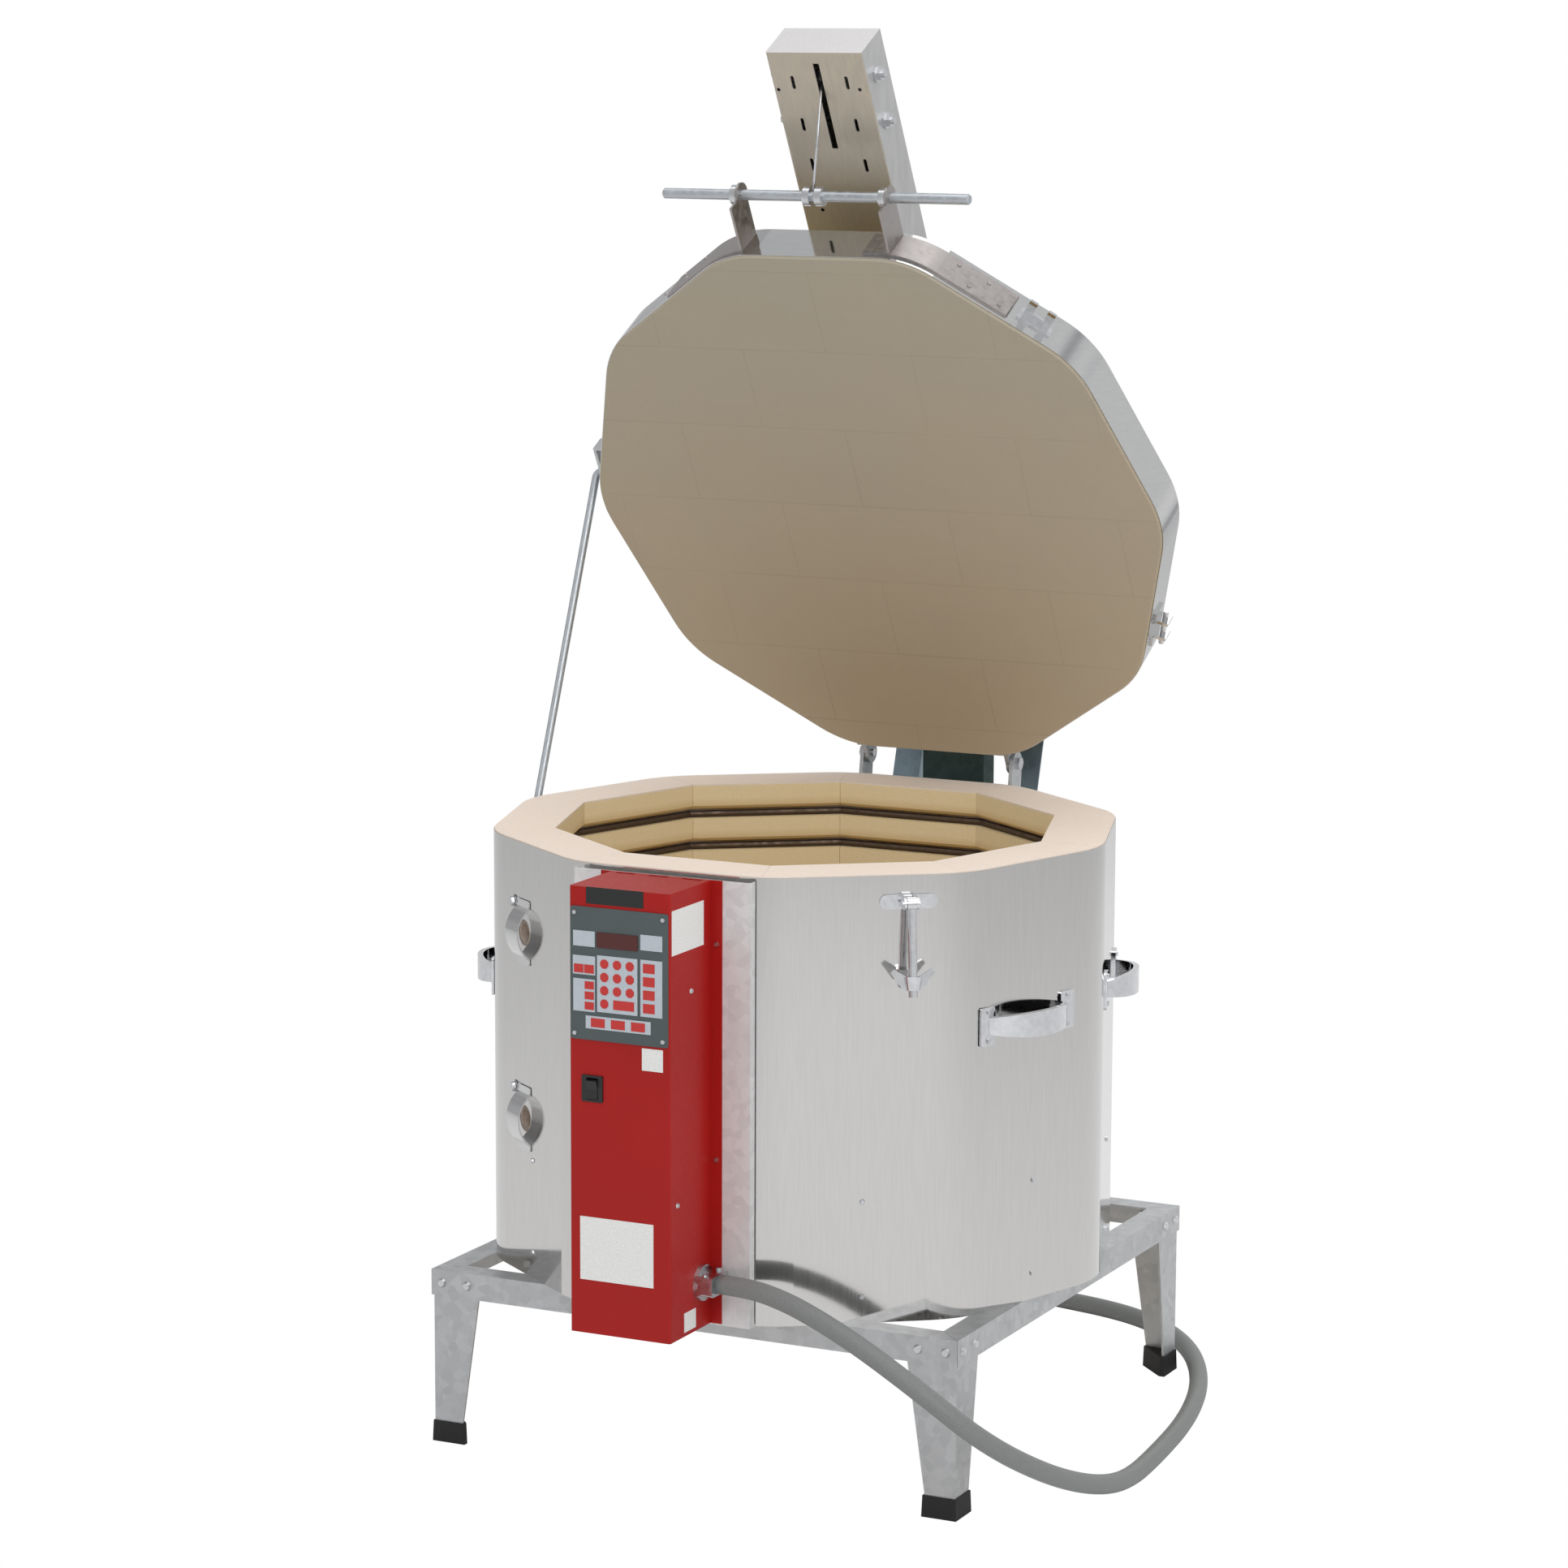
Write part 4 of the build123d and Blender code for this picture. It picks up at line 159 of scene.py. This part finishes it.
def noise(tree, vector, scale, detail=3.0, roughness=0.5):
    """A noise texture's value."""
    texture = tree.nodes.new("ShaderNodeTexNoise")
    texture.inputs["Scale"].default_value = scale
    texture.inputs["Detail"].default_value = detail
    texture.inputs["Roughness"].default_value = roughness
    tree.links.new(vector, texture.inputs["Vector"])
    return texture.outputs["Fac"]


def ramp(tree, value, stops):
    """A colour ramp from a value, with stops of (position, colour)."""
    node = tree.nodes.new("ShaderNodeValToRGB")
    elements = node.color_ramp.elements
    while len(elements) < len(stops):
        elements.new(0.5)
    for element, (position, colour) in zip(elements, stops):
        element.position = position
        element.color = (*colour, 1)
    tree.links.new(value, node.inputs["Fac"])
    return node.outputs["Color"]


def spread(tree, value, low_value, high_value, from_low=0.3, from_high=0.7):
    """A value mapped from its usual range to another range."""
    node = tree.nodes.new("ShaderNodeMapRange")
    node.inputs["From Min"].default_value = from_low
    node.inputs["From Max"].default_value = from_high
    node.inputs["To Min"].default_value = low_value
    node.inputs["To Max"].default_value = high_value
    tree.links.new(value, node.inputs["Value"])
    return node.outputs["Result"]


def math_node(tree, operation, first, second):
    """One math step; either input may be a socket or a number."""
    node = tree.nodes.new("ShaderNodeMath")
    node.operation = operation
    for index, value in enumerate((first, second)):
        if isinstance(value, (int, float)):
            node.inputs[index].default_value = value
        else:
            tree.links.new(value, node.inputs[index])
    return node.outputs["Value"]


def mix_colour(tree, factor, first, second):
    """Two colours mixed; each may be a socket or an RGB tuple."""
    node = tree.nodes.new("ShaderNodeMix")
    node.data_type = "RGBA"
    if isinstance(factor, (int, float)):
        node.inputs["Factor"].default_value = factor
    else:
        tree.links.new(factor, node.inputs["Factor"])
    for name, value in (("A", first), ("B", second)):
        socket = [s for s in node.inputs if s.name == name and s.type == "RGBA"][0]
        if isinstance(value, tuple):
            socket.default_value = (*value, 1)
        else:
            tree.links.new(value, socket)
    return [s for s in node.outputs if s.type == "RGBA"][0]


def bump(tree, shader, height, strength, distance=0.001):
    """A bump on a shader from a height value."""
    node = tree.nodes.new("ShaderNodeBump")
    node.inputs["Strength"].default_value = strength
    node.inputs["Distance"].default_value = distance
    tree.links.new(height, node.inputs["Height"])
    tree.links.new(node.outputs["Normal"], shader.inputs["Normal"])


def axes(tree):
    """The object coordinates split into X, Y and Z."""
    coordinates = tree.nodes.new("ShaderNodeTexCoord")
    split = tree.nodes.new("ShaderNodeSeparateXYZ")
    tree.links.new(coordinates.outputs["Object"], split.inputs["Vector"])
    return split.outputs["X"], split.outputs["Y"], split.outputs["Z"]


# Metals


def sheet_metal(name, colour, roughness, stretch, streak=0.06, wave=0.1):
    """Rolled stainless sheet: nearly a mirror, with fine streaks and slow, faint waves."""
    material, tree, shader = new_material(name)
    streaks = noise(tree, place(tree, stretch), 40, 4)
    waves = noise(tree, place(tree), 3.5, 1)
    dark = tuple(c * (1 - streak) for c in colour)
    shader.inputs["Metallic"].default_value = 1
    tree.links.new(ramp(tree, streaks, ((0.3, dark), (0.7, colour))), shader.inputs["Base Color"])
    tree.links.new(spread(tree, streaks, roughness * 0.8, roughness * 1.25), shader.inputs["Roughness"])
    bump(tree, shader, waves, wave, 0.01)
    return material


def galvanised(name, colour, roughness=0.42, metallic=0.9):
    """Zinc-coated sheet with faint crystals."""
    material, tree, shader = new_material(name)
    crystals = tree.nodes.new("ShaderNodeTexVoronoi")
    crystals.inputs["Scale"].default_value = 90
    tree.links.new(place(tree), crystals.inputs["Vector"])
    grey = tree.nodes.new("ShaderNodeSeparateColor")
    tree.links.new(crystals.outputs["Color"], grey.inputs["Color"])
    dark = tuple(c * 0.86 for c in colour)
    shader.inputs["Metallic"].default_value = metallic
    tree.links.new(ramp(tree, grey.outputs["Red"], ((0, dark), (1, colour))), shader.inputs["Base Color"])
    tree.links.new(
        spread(tree, grey.outputs["Green"], roughness * 0.85, roughness * 1.15, 0, 1),
        shader.inputs["Roughness"],
    )
    bump(tree, shader, noise(tree, place(tree), 25, 2), 0.1, 0.004)
    return material


def plated(name, colour, roughness):
    """Small plated steel pieces with a slightly uneven shine."""
    material, tree, shader = new_material(name)
    patches = noise(tree, place(tree), 120, 4)
    dark = tuple(c * 0.85 for c in colour)
    shader.inputs["Metallic"].default_value = 1
    tree.links.new(ramp(tree, patches, ((0.3, dark), (0.7, colour))), shader.inputs["Base Color"])
    tree.links.new(spread(tree, patches, roughness * 0.7, roughness * 1.3), shader.inputs["Roughness"])
    bump(tree, shader, patches, 0.05, 0.0005)
    return material


# Brick


def tan_with_bevel_shade(tree, z, tan, bevel_shade):
    """The tan of the chamber's wall, with painted shade in warm ochre on the bevel over each element
    groove.
    """
    course = math_node(tree, "DIVIDE", math_node(tree, "SUBTRACT", z, FLOOR_TOP_Z), COURSE_HEIGHT)
    share = math_node(tree, "FRACT", course, 0)
    stops = []
    # Painted shade: ochre just above each groove, fading back to tan up the bevel and below the groove
    for height in GROOVE_HEIGHTS:
        stops.append(((height + BEVEL_START) / COURSE_HEIGHT, bevel_shade))
        stops.append(((height + BEVEL_END) / COURSE_HEIGHT, tan))
        stops.append(((height - BEVEL_LEAD) / COURSE_HEIGHT, tan))
    return ramp(tree, share, sorted(stops))


def firebrick(name, face, tan, bevel_shade):
    """Porous insulating brick: pale on its cut faces, tanned where it faces the fire, with painted shade
    on the bevel over each element groove.
    """
    material, tree, shader = new_material(name)
    grain = noise(tree, place(tree), 350, 6, 0.6)
    blotches = noise(tree, place(tree), 9, 4)
    pores = tree.nodes.new("ShaderNodeTexVoronoi")
    pores.inputs["Scale"].default_value = 420
    tree.links.new(place(tree), pores.inputs["Vector"])
    x, y, z = axes(tree)
    aside = math_node(tree, "SUBTRACT", x, AXIS_X)
    away = math_node(tree, "SUBTRACT", y, AXIS_Y)
    squares = math_node(
        tree, "ADD", math_node(tree, "MULTIPLY", aside, aside), math_node(tree, "MULTIPLY", away, away)
    )
    radius = math_node(tree, "SQRT", squares, 0)
    wall_near, wall_far = WALL_FADE
    rim_low, rim_high = RIM_FADE
    walled = spread(tree, radius, 1, 0, CHAMBER_RADIUS + wall_near, CHAMBER_RADIUS + wall_far)
    below_rim = spread(tree, z, 1, 0, RIM_Z - rim_low, RIM_Z - rim_high)
    inside = math_node(tree, "MULTIPLY", walled, below_rim)
    cut = mix_colour(tree, blotches, face, tuple(c * 0.95 for c in face))
    # The fired colour carries the real tan and the painted shade on the groove bevels
    fired_and_bevel_shade = mix_colour(tree, inside, cut, tan_with_bevel_shade(tree, z, tan, bevel_shade))
    speckled = mix_colour(tree, spread(tree, grain, 0, 0.22), fired_and_bevel_shade, tuple(c * 0.72 for c in tan))
    tree.links.new(speckled, shader.inputs["Base Color"])
    shader.inputs["Roughness"].default_value = 0.95
    shader.inputs["Specular IOR Level"].default_value = 0.15
    bump(tree, shader, math_node(tree, "ADD", grain, pores.outputs["Distance"]), 0.2, 0.0006)
    return material


def lid_brick(name, top, bottom, joint):
    """The lid's slab: coated brick, painted darker than the walls' brick as shade, browner low down, with
    scuffs and the bricks' faint joints.
    """
    material, tree, shader = new_material(name)
    _, _, z = axes(tree)
    grain = noise(tree, place(tree), 260, 6, 0.6)
    patches = noise(tree, place(tree), 5, 5, 0.6)
    scuffs = noise(tree, place(tree, (1, 6, 6)), 7, 6, 0.7)
    height = math_node(tree, "ADD", z, math_node(tree, "MULTIPLY", patches, 0.35))
    base = ramp(tree, spread(tree, height, 0, 1, *LID_TINT), ((0.1, bottom), (0.9, top)))
    pale = tuple(min(1, c * 1.12) for c in top)
    marked = mix_colour(tree, spread(tree, scuffs, 0, 0.3, 0.55, 0.75), base, pale)
    coordinates = tree.nodes.new("ShaderNodeTexCoord")
    turned = tree.nodes.new("ShaderNodeMapping")
    turned.inputs["Rotation"].default_value = (math.radians(LID_TURN), 0, 0)
    tree.links.new(coordinates.outputs["Object"], turned.inputs["Vector"])
    bricks = tree.nodes.new("ShaderNodeTexBrick")
    bricks.inputs["Scale"].default_value = 1
    bricks.inputs["Brick Width"].default_value = LID_BRICK[0]
    bricks.inputs["Row Height"].default_value = LID_BRICK[1]
    bricks.inputs["Mortar Size"].default_value = LID_JOINT
    bricks.inputs["Mortar Smooth"].default_value = 0.6
    tree.links.new(turned.outputs["Vector"], bricks.inputs["Vector"])
    seams = math_node(tree, "MULTIPLY", bricks.outputs["Fac"], spread(tree, patches, 0.05, 0.35))
    jointed = mix_colour(tree, seams, marked, joint)
    speckled = mix_colour(tree, spread(tree, grain, 0, 0.12), jointed, tuple(c * 0.75 for c in bottom))
    tree.links.new(speckled, shader.inputs["Base Color"])
    shader.inputs["Roughness"].default_value = 0.8
    shader.inputs["Specular IOR Level"].default_value = 0.25
    bump(tree, shader, grain, 0.1, 0.0004)
    return material


# Paint, plastic and rubber


def enamel(name, colour, roughness=0.42):
    """Sprayed paint with a fine orange peel and a little fading."""
    material, tree, shader = new_material(name)
    peel = noise(tree, place(tree), 450, 3)
    fade = noise(tree, place(tree), 7, 3)
    pale = tuple(min(1, c * 1.12) for c in colour)
    tree.links.new(ramp(tree, fade, ((0.3, colour), (0.7, pale))), shader.inputs["Base Color"])
    shader.inputs["Specular IOR Level"].default_value = 0.22
    tree.links.new(spread(tree, peel, roughness * 0.85, roughness * 1.15), shader.inputs["Roughness"])
    bump(tree, shader, peel, 0.06, 0.0004)
    return material


def moulded(name, colour, roughness):
    """Moulded plastic or rubber with a fine grain."""
    material, tree, shader = new_material(name)
    grain = noise(tree, place(tree), 600, 3)
    pale = tuple(min(1, c * 1.25) for c in colour)
    tree.links.new(ramp(tree, grain, ((0.3, colour), (0.7, pale))), shader.inputs["Base Color"])
    tree.links.new(spread(tree, grain, roughness * 0.85, roughness * 1.15), shader.inputs["Roughness"])
    bump(tree, shader, grain, 0.1, 0.0003)
    return material


def keypad(name, pad, key, key_front):
    """The membrane: pale pads, with red keys wherever the film is raised."""
    material, tree, shader = new_material(name)
    _, y, _ = axes(tree)
    raised = math_node(tree, "LESS_THAN", y, key_front)
    film = noise(tree, place(tree), 300, 2)
    pad_colour = ramp(tree, film, ((0.3, tuple(c * 0.93 for c in pad)), (0.7, pad)))
    tree.links.new(mix_colour(tree, raised, pad_colour, key), shader.inputs["Base Color"])
    shader.inputs["Roughness"].default_value = 0.35
    bump(tree, shader, film, 0.03, 0.0003)
    return material


def tower_metal(name, reflection_high, reflection_low, side):
    """The tower's satin sheet: a painted beige reflection of the lid below it on its front, a painted
    highlight on its top, its sides plain grey.
    """
    material, tree, shader = new_material(name)
    _, _, z = axes(tree)
    streaks = noise(tree, place(tree, (14, 3, 1)), 22, 3)
    geometry = tree.nodes.new("ShaderNodeNewGeometry")
    split = tree.nodes.new("ShaderNodeSeparateXYZ")
    tree.links.new(geometry.outputs["True Normal"], split.inputs["Vector"])
    facing = math_node(tree, "LESS_THAN", split.outputs["Y"], -0.5)
    # Painted light: faces turned up get the paler top colour
    painted_lit_top = math_node(tree, "GREATER_THAN", split.outputs["Z"], 0.7)
    # Painted reflection of the lid on the front, fading with height
    painted_reflection = ramp(tree, spread(tree, z, 0, 1, *TOWER_REFLECTION_FADE), ((0.25, reflection_low), (0.6, reflection_high)))
    plain = mix_colour(tree, painted_lit_top, side, TOWER_TOP_PAINTED_LIGHT)
    colour = mix_colour(tree, facing, plain, painted_reflection)
    shaded = mix_colour(tree, spread(tree, streaks, 0, 0.25), colour, tuple(c * 0.6 for c in side))
    shader.inputs["Metallic"].default_value = 0.75
    tree.links.new(shaded, shader.inputs["Base Color"])
    tree.links.new(spread(tree, streaks, 0.28, 0.42), shader.inputs["Roughness"])
    bump(tree, shader, noise(tree, place(tree), 6, 2), 0.12, 0.006)
    return material


stainless = sheet_metal("stainless", (0.64, 0.63, 0.62), 0.09, (10, 10, 0.5))
stainless_band = sheet_metal("stainless_band", (0.66, 0.66, 0.66), 0.07, (1, 1, 8), 0.05, 0.16)
bracket_steel = plated("bracket_steel", (0.42, 0.39, 0.38), 0.38)
zinc_sheet = galvanised("zinc_sheet", (0.55, 0.56, 0.57))
strip_zinc = galvanised("strip_zinc", (0.78, 0.78, 0.78), 0.5, 0.25)
strut_steel = galvanised("strut_steel", (0.24, 0.31, 0.35), 0.34)
neck_paint = galvanised("neck_paint", (0.075, 0.115, 0.105), 0.5)
# The first two colours are the painted reflection of the lid on the tower's front, high and low
tower_sheet = tower_metal("tower_sheet", (0.52, 0.46, 0.37), (0.66, 0.52, 0.28), (0.55, 0.55, 0.55))
plated_steel = plated("plated_steel", (0.66, 0.67, 0.69), 0.24)
chrome = plated("chrome", (0.74, 0.75, 0.77), 0.07)
bar_steel = plated("bar_steel", (0.56, 0.59, 0.62), 0.42)
element_wire = plated("element_wire", (0.16, 0.12, 0.09), 0.6)
# The last colour of each brick is the painted shade on the groove bevels
brick = firebrick("brick", (0.92, 0.80, 0.71), (0.88, 0.72, 0.45), (0.66, 0.45, 0.19))
slab_brick = firebrick("slab_brick", (0.80, 0.70, 0.56), (0.80, 0.66, 0.42), (0.70, 0.54, 0.30))
# The lid's colours are far darker than the walls' brick: painted shade on the lid's underside
lid_face_painted_shade = lid_brick("lid_face_painted_shade", (0.40, 0.36, 0.285), (0.48, 0.385, 0.265), (0.29, 0.24, 0.17))
red_enamel = enamel("red_enamel", (0.36, 0.010, 0.008))
panel_enamel = enamel("panel_enamel", (0.085, 0.105, 0.108), 0.5)
membrane = keypad("membrane", (0.52, 0.57, 0.62), (0.55, 0.030, 0.025), KEY_FRONT)
display_red = moulded("display_red", (0.070, 0.012, 0.010), 0.15)
black_plastic = moulded("black_plastic", (0.012, 0.012, 0.012), 0.42)
label_black = moulded("label_black", (0.010, 0.012, 0.012), 0.35)
label_white = moulded("label_white", (0.72, 0.72, 0.70), 0.4)
board_green = moulded("board_green", (0.02, 0.10, 0.04), 0.4)
rubber = moulded("rubber", (0.010, 0.010, 0.010), 0.7)
cord_vinyl = moulded("cord_vinyl", (0.185, 0.195, 0.19), 0.5)
porcelain = moulded("porcelain", (0.72, 0.68, 0.60), 0.6)

MATERIALS = {
    stainless: ("jacket",),
    stainless_band: (
        "lid_band",
        "lid_band_clamp",
        "peephole_cover_upper",
        "peephole_cover_lower",
    ),
    bracket_steel: ("lid_brackets", "bracket_rivets"),
    strip_zinc: ("control_channel",),
    strut_steel: ("tower_struts", "tower_cradle"),
    neck_paint: ("tower_neck",),
    zinc_sheet: (
        "stand_rails",
        "stand_legs",
        "hinge_mounts",
        "lid_hinge_leaves",
        "prop_foot_bracket",
        "prop_catch",
    ),
    tower_sheet: ("tower_housing", "tower_back_cover"),
    plated_steel: (
        "small_screws",
        "stand_bolts",
        "tower_bolts",
        "peephole_pivots",
        "hinge_pins",
        "bar_collars",
        "cord_gland",
        "top_pulley",
        "yoke_sheave",
        "spring_yoke",
        "counterbalance_springs",
        "lift_cable",
        "transformer",
    ),
    chrome: ("pull_handles", "latch_base", "latch_bolt", "latch_wing_nut", "latch_keeper"),
    bar_steel: ("handle_bar", "prop_rod"),
    element_wire: ("heating_elements", "element_terminals"),
    brick: ("brick_course_bottom", "brick_course_lower", "brick_course_upper", "brick_course_top"),
    slab_brick: ("floor_slab",),
    lid_face_painted_shade: ("lid_slab",),
    red_enamel: ("control_cover",),
    panel_enamel: ("keypad_panel",),
    membrane: ("keypad_membrane",),
    display_red: ("display_window",),
    black_plastic: ("power_switch", "switch_rocker", "power_relays", "terminal_block"),
    board_green: ("circuit_board",),
    rubber: ("stand_boots", "power_plug"),
    cord_vinyl: ("power_cord",),
    porcelain: ("thermocouple",),
}
for material, names in MATERIALS.items():
    for name in names:
        nodes[name].data.materials.clear()
        nodes[name].data.materials.append(material)

for name in ("stand_rails", "stand_legs", "tower_struts", "tower_cradle", "control_cover"):
    edge = nodes[name].modifiers.new("soft edges", "BEVEL")
    edge.width = 0.0008
    edge.segments = 2
    edge.limit_method = "ANGLE"


# Power cord: a ribbed tube along the route


def route_curve(name, points):
    """The route as a smooth curve without thickness."""
    data = bpy.data.curves.new(name, "CURVE")
    data.dimensions = "3D"
    data.resolution_u = 8
    spline = data.splines.new("NURBS")
    spline.points.add(len(points) - 1)
    for point, place_ in zip(spline.points, points):
        point.co = (*place_, 1)
    spline.order_u = 3
    spline.use_endpoint_u = True
    curve = bpy.data.objects.new(name, data)
    bpy.context.collection.objects.link(curve)
    return curve


def curve_points(curve):
    """Points along a curve, read from the curve itself."""
    bpy.context.view_layer.update()
    mesh = bpy.data.meshes.new_from_object(curve)
    points = [vertex.co.copy() for vertex in mesh.vertices]
    bpy.data.meshes.remove(mesh)
    return points


def tube(name, points, outline):
    """A closed tube along points, with its section given as (angle, radius) pairs."""
    vertices = []
    faces = []
    count = len(outline)
    side = None
    for index, point in enumerate(points):
        before = points[max(index - 1, 0)]
        after = points[min(index + 1, len(points) - 1)]
        along = (after - before).normalized()
        if side is None:
            side = along.cross(Vector((0, 0, 1))).normalized()
        side = (side - along * side.dot(along)).normalized()
        up = along.cross(side)
        for angle, radius in outline:
            vertices.append(point + side * (radius * math.cos(angle)) + up * (radius * math.sin(angle)))
    for ring in range(len(points) - 1):
        for step in range(count):
            a = ring * count + step
            b = ring * count + (step + 1) % count
            faces.append((a, b, b + count, a + count))
    faces.append(tuple(reversed(range(count))))
    faces.append(tuple(range((len(points) - 1) * count, len(points) * count)))
    mesh = bpy.data.meshes.new(name)
    mesh.from_pydata([tuple(v) for v in vertices], [], faces)
    mesh.shade_smooth()
    made = bpy.data.objects.new(name, mesh)
    bpy.context.collection.objects.link(made)
    return made


def cord_outline(steps=32):
    """A round section with three faint ridges where the cores lie under the sheath."""
    outline = []
    for step in range(steps):
        angle = 2 * math.pi * step / steps
        radius = CORD_DIAMETER / 2 - CORD_RIDGE * (0.5 - 0.5 * math.cos(3 * angle))
        outline.append((angle, radius))
    return outline


def from_axis(point):
    """A point given about the chamber's axis, in the frame."""
    return (point[0] + AXIS_X, point[1] + AXIS_Y, point[2])


route = route_curve("cord_route", [from_axis(point) for point in CORD_ROUTE])
cord_line = curve_points(route)
bpy.data.objects.remove(route)
cord = tube("power_cord_sheath", cord_line, cord_outline())
cord.data.materials.append(cord_vinyl)
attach(cord, "kiln_body")
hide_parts("power_cord")


# Lift cable: one straight run from the top pulley to the bar, and the rest inside the tower

inner = nodes["lift_cable"].copy()
inner.data = nodes["lift_cable"].data.copy()
inner.name = "lift_cable_inside"
bpy.context.collection.objects.link(inner)
inner_mesh = bmesh.new()
inner_mesh.from_mesh(inner.data)
free_end = Vector(from_axis(CABLE_END))
near_bar = [vertex for vertex in inner_mesh.verts if (vertex.co - free_end).length < CABLE_REACH]
bmesh.ops.delete(inner_mesh, geom=near_bar, context="VERTS")
inner_mesh.to_mesh(inner.data)
inner_mesh.free()
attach(inner, "kiln_body")
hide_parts("lift_cable")

run_ends = [Vector(from_axis(point)) for point in (CABLE_TOP, CABLE_END)]
run_outline = [(2 * math.pi * step / CABLE_SIDES, CABLE_RADIUS) for step in range(CABLE_SIDES)]
run = tube("lift_cable_run", run_ends, run_outline)
run.data.materials.append(plated_steel)
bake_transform(run)
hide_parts("lift_cable")


# Bare label plates where the photo shows labels

LABEL_THICKNESS = 0.0004


def label(name, corner_low, corner_high, material):
    """A thin plate between two corners, given about the chamber's axis."""
    low_point = Vector(from_axis(corner_low))
    high_point = Vector(from_axis(corner_high))
    bpy.ops.mesh.primitive_cube_add(size=1, location=(low_point + high_point) / 2)
    plate = bpy.context.object
    plate.name = name
    plate.scale = high_point - low_point
    bpy.ops.object.transform_apply(location=False, rotation=False, scale=True)
    plate.data.materials.append(material)
    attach(plate, "kiln_body")


front = BOX_FRONT - LABEL_THICKNESS
side = BOX_SIDE + LABEL_THICKNESS
label("top_label", (-0.043, front, 0.726), (0.031, BOX_FRONT, 0.7455), label_black)
label("small_label", (0.029, front, 0.538), (0.056, BOX_FRONT, 0.564), label_white)
label("rating_label", (-0.052, front, 0.283), (0.0435, BOX_FRONT, 0.358), label_white)
label("side_label", (BOX_SIDE, -0.486, 0.673), (side, -0.407, 0.725), label_white)
label("low_side_label", (BOX_SIDE, -0.455, 0.224), (side, -0.426, 0.247), label_white)


# Floor, light and camera

FLOOR_SIZE = 14
ROOM_DARK = (0.42, 0.42, 0.43)
ROOM_MIDDLE = (0.80, 0.81, 0.82)
ROOM_PALE = (1.0, 1.0, 1.0)
ROOM_LEFT_SHADE = 0.6
ROOM_STRENGTH = 0.80


def pale_floor():
    """A pale floor that the camera sees as plain white, and that still takes soft light."""
    bpy.ops.mesh.primitive_plane_add(size=FLOOR_SIZE, location=(0, 0, 0))
    floor = bpy.context.object
    floor.name = "floor"
    material, tree, shader = new_material("floor_white")
    shader.inputs["Base Color"].default_value = (0.92, 0.92, 0.92, 1)
    shader.inputs["Roughness"].default_value = 0.9
    white = tree.nodes.new("ShaderNodeEmission")
    white.inputs["Color"].default_value = (1, 1, 1, 1)
    white.inputs["Strength"].default_value = 1
    rays = tree.nodes.new("ShaderNodeLightPath")
    choice = tree.nodes.new("ShaderNodeMixShader")
    output = tree.nodes["Material Output"]
    tree.links.new(rays.outputs["Is Camera Ray"], choice.inputs["Fac"])
    tree.links.new(shader.outputs["BSDF"], choice.inputs[1])
    tree.links.new(white.outputs["Emission"], choice.inputs[2])
    tree.links.new(choice.outputs["Shader"], output.inputs["Surface"])
    floor.data.materials.append(material)


def white_world():
    """An even studio: white to the camera, a room with paler and darker panels for reflections."""
    world = bpy.data.worlds.new("studio")
    bpy.context.scene.world = world
    world.use_nodes = True
    tree = world.node_tree
    coordinates = tree.nodes.new("ShaderNodeTexCoord")
    mapping = tree.nodes.new("ShaderNodeMapping")
    mapping.inputs["Scale"].default_value = (1.6, 1.6, 0.25)
    tree.links.new(coordinates.outputs["Generated"], mapping.inputs["Vector"])
    panels = noise(tree, mapping.outputs["Vector"], 1.7, 2)
    room = tree.nodes["Background"]
    walls = ramp(tree, panels, ((0.36, ROOM_DARK), (0.47, ROOM_MIDDLE), (0.62, ROOM_PALE)))
    split = tree.nodes.new("ShaderNodeSeparateXYZ")
    tree.links.new(coordinates.outputs["Generated"], split.inputs["Vector"])
    leftward = spread(tree, split.outputs["X"], ROOM_LEFT_SHADE, 0, -0.85, -0.25)
    tree.links.new(mix_colour(tree, leftward, walls, ROOM_DARK), room.inputs["Color"])
    room.inputs["Strength"].default_value = ROOM_STRENGTH
    white = tree.nodes.new("ShaderNodeBackground")
    white.inputs["Color"].default_value = (1, 1, 1, 1)
    white.inputs["Strength"].default_value = 1
    rays = tree.nodes.new("ShaderNodeLightPath")
    choice = tree.nodes.new("ShaderNodeMixShader")
    tree.links.new(rays.outputs["Is Camera Ray"], choice.inputs["Fac"])
    tree.links.new(room.outputs["Background"], choice.inputs[1])
    tree.links.new(white.outputs["Background"], choice.inputs[2])
    tree.links.new(choice.outputs["Shader"], tree.nodes["World Output"].inputs["Surface"])


def soft_lamp(name, place_, target, size, power):
    """A large soft area lamp aimed at a point."""
    data = bpy.data.lights.new(name, "AREA")
    data.shape = "RECTANGLE"
    data.size, data.size_y = size
    data.energy = power
    lamp = bpy.data.objects.new(name, data)
    lamp.location = place_
    aim = Vector(target) - Vector(place_)
    lamp.rotation_euler = aim.to_track_quat("-Z", "Y").to_euler()
    bpy.context.collection.objects.link(lamp)


pale_floor()
white_world()
soft_lamp("key", (2.6, -3.2, 3.2), (0, 0, 0.7), (2.5, 2.5), 45)
soft_lamp("left", (-3.2, -2.4, 2.2), (0, 0, 0.6), (2.0, 2.5), 10)
soft_lamp("back", (0.5, 3.4, 3.0), (0, 0, 0.9), (3.0, 2.0), 25)
soft_lamp("top", (0.2, -0.3, 3.4), (0, 0, 0.7), (2.5, 2.5), 24)

camera_data = bpy.data.cameras.new("camera")
camera_data.lens = CAMERA_LENS
camera_data.sensor_width = 36
camera = bpy.data.objects.new("camera", camera_data)
bpy.context.collection.objects.link(camera)
camera.location = CAMERA_PLACE
tilt, roll, heading = (math.radians(angle) for angle in CAMERA_TURN)
camera.rotation_euler = (
    Euler((0, 0, heading)).to_matrix() @ Euler((tilt, 0, 0)).to_matrix() @ Euler((0, 0, roll)).to_matrix()
).to_euler()
bpy.context.scene.camera = camera

bpy.context.scene.view_settings.view_transform = "Standard"
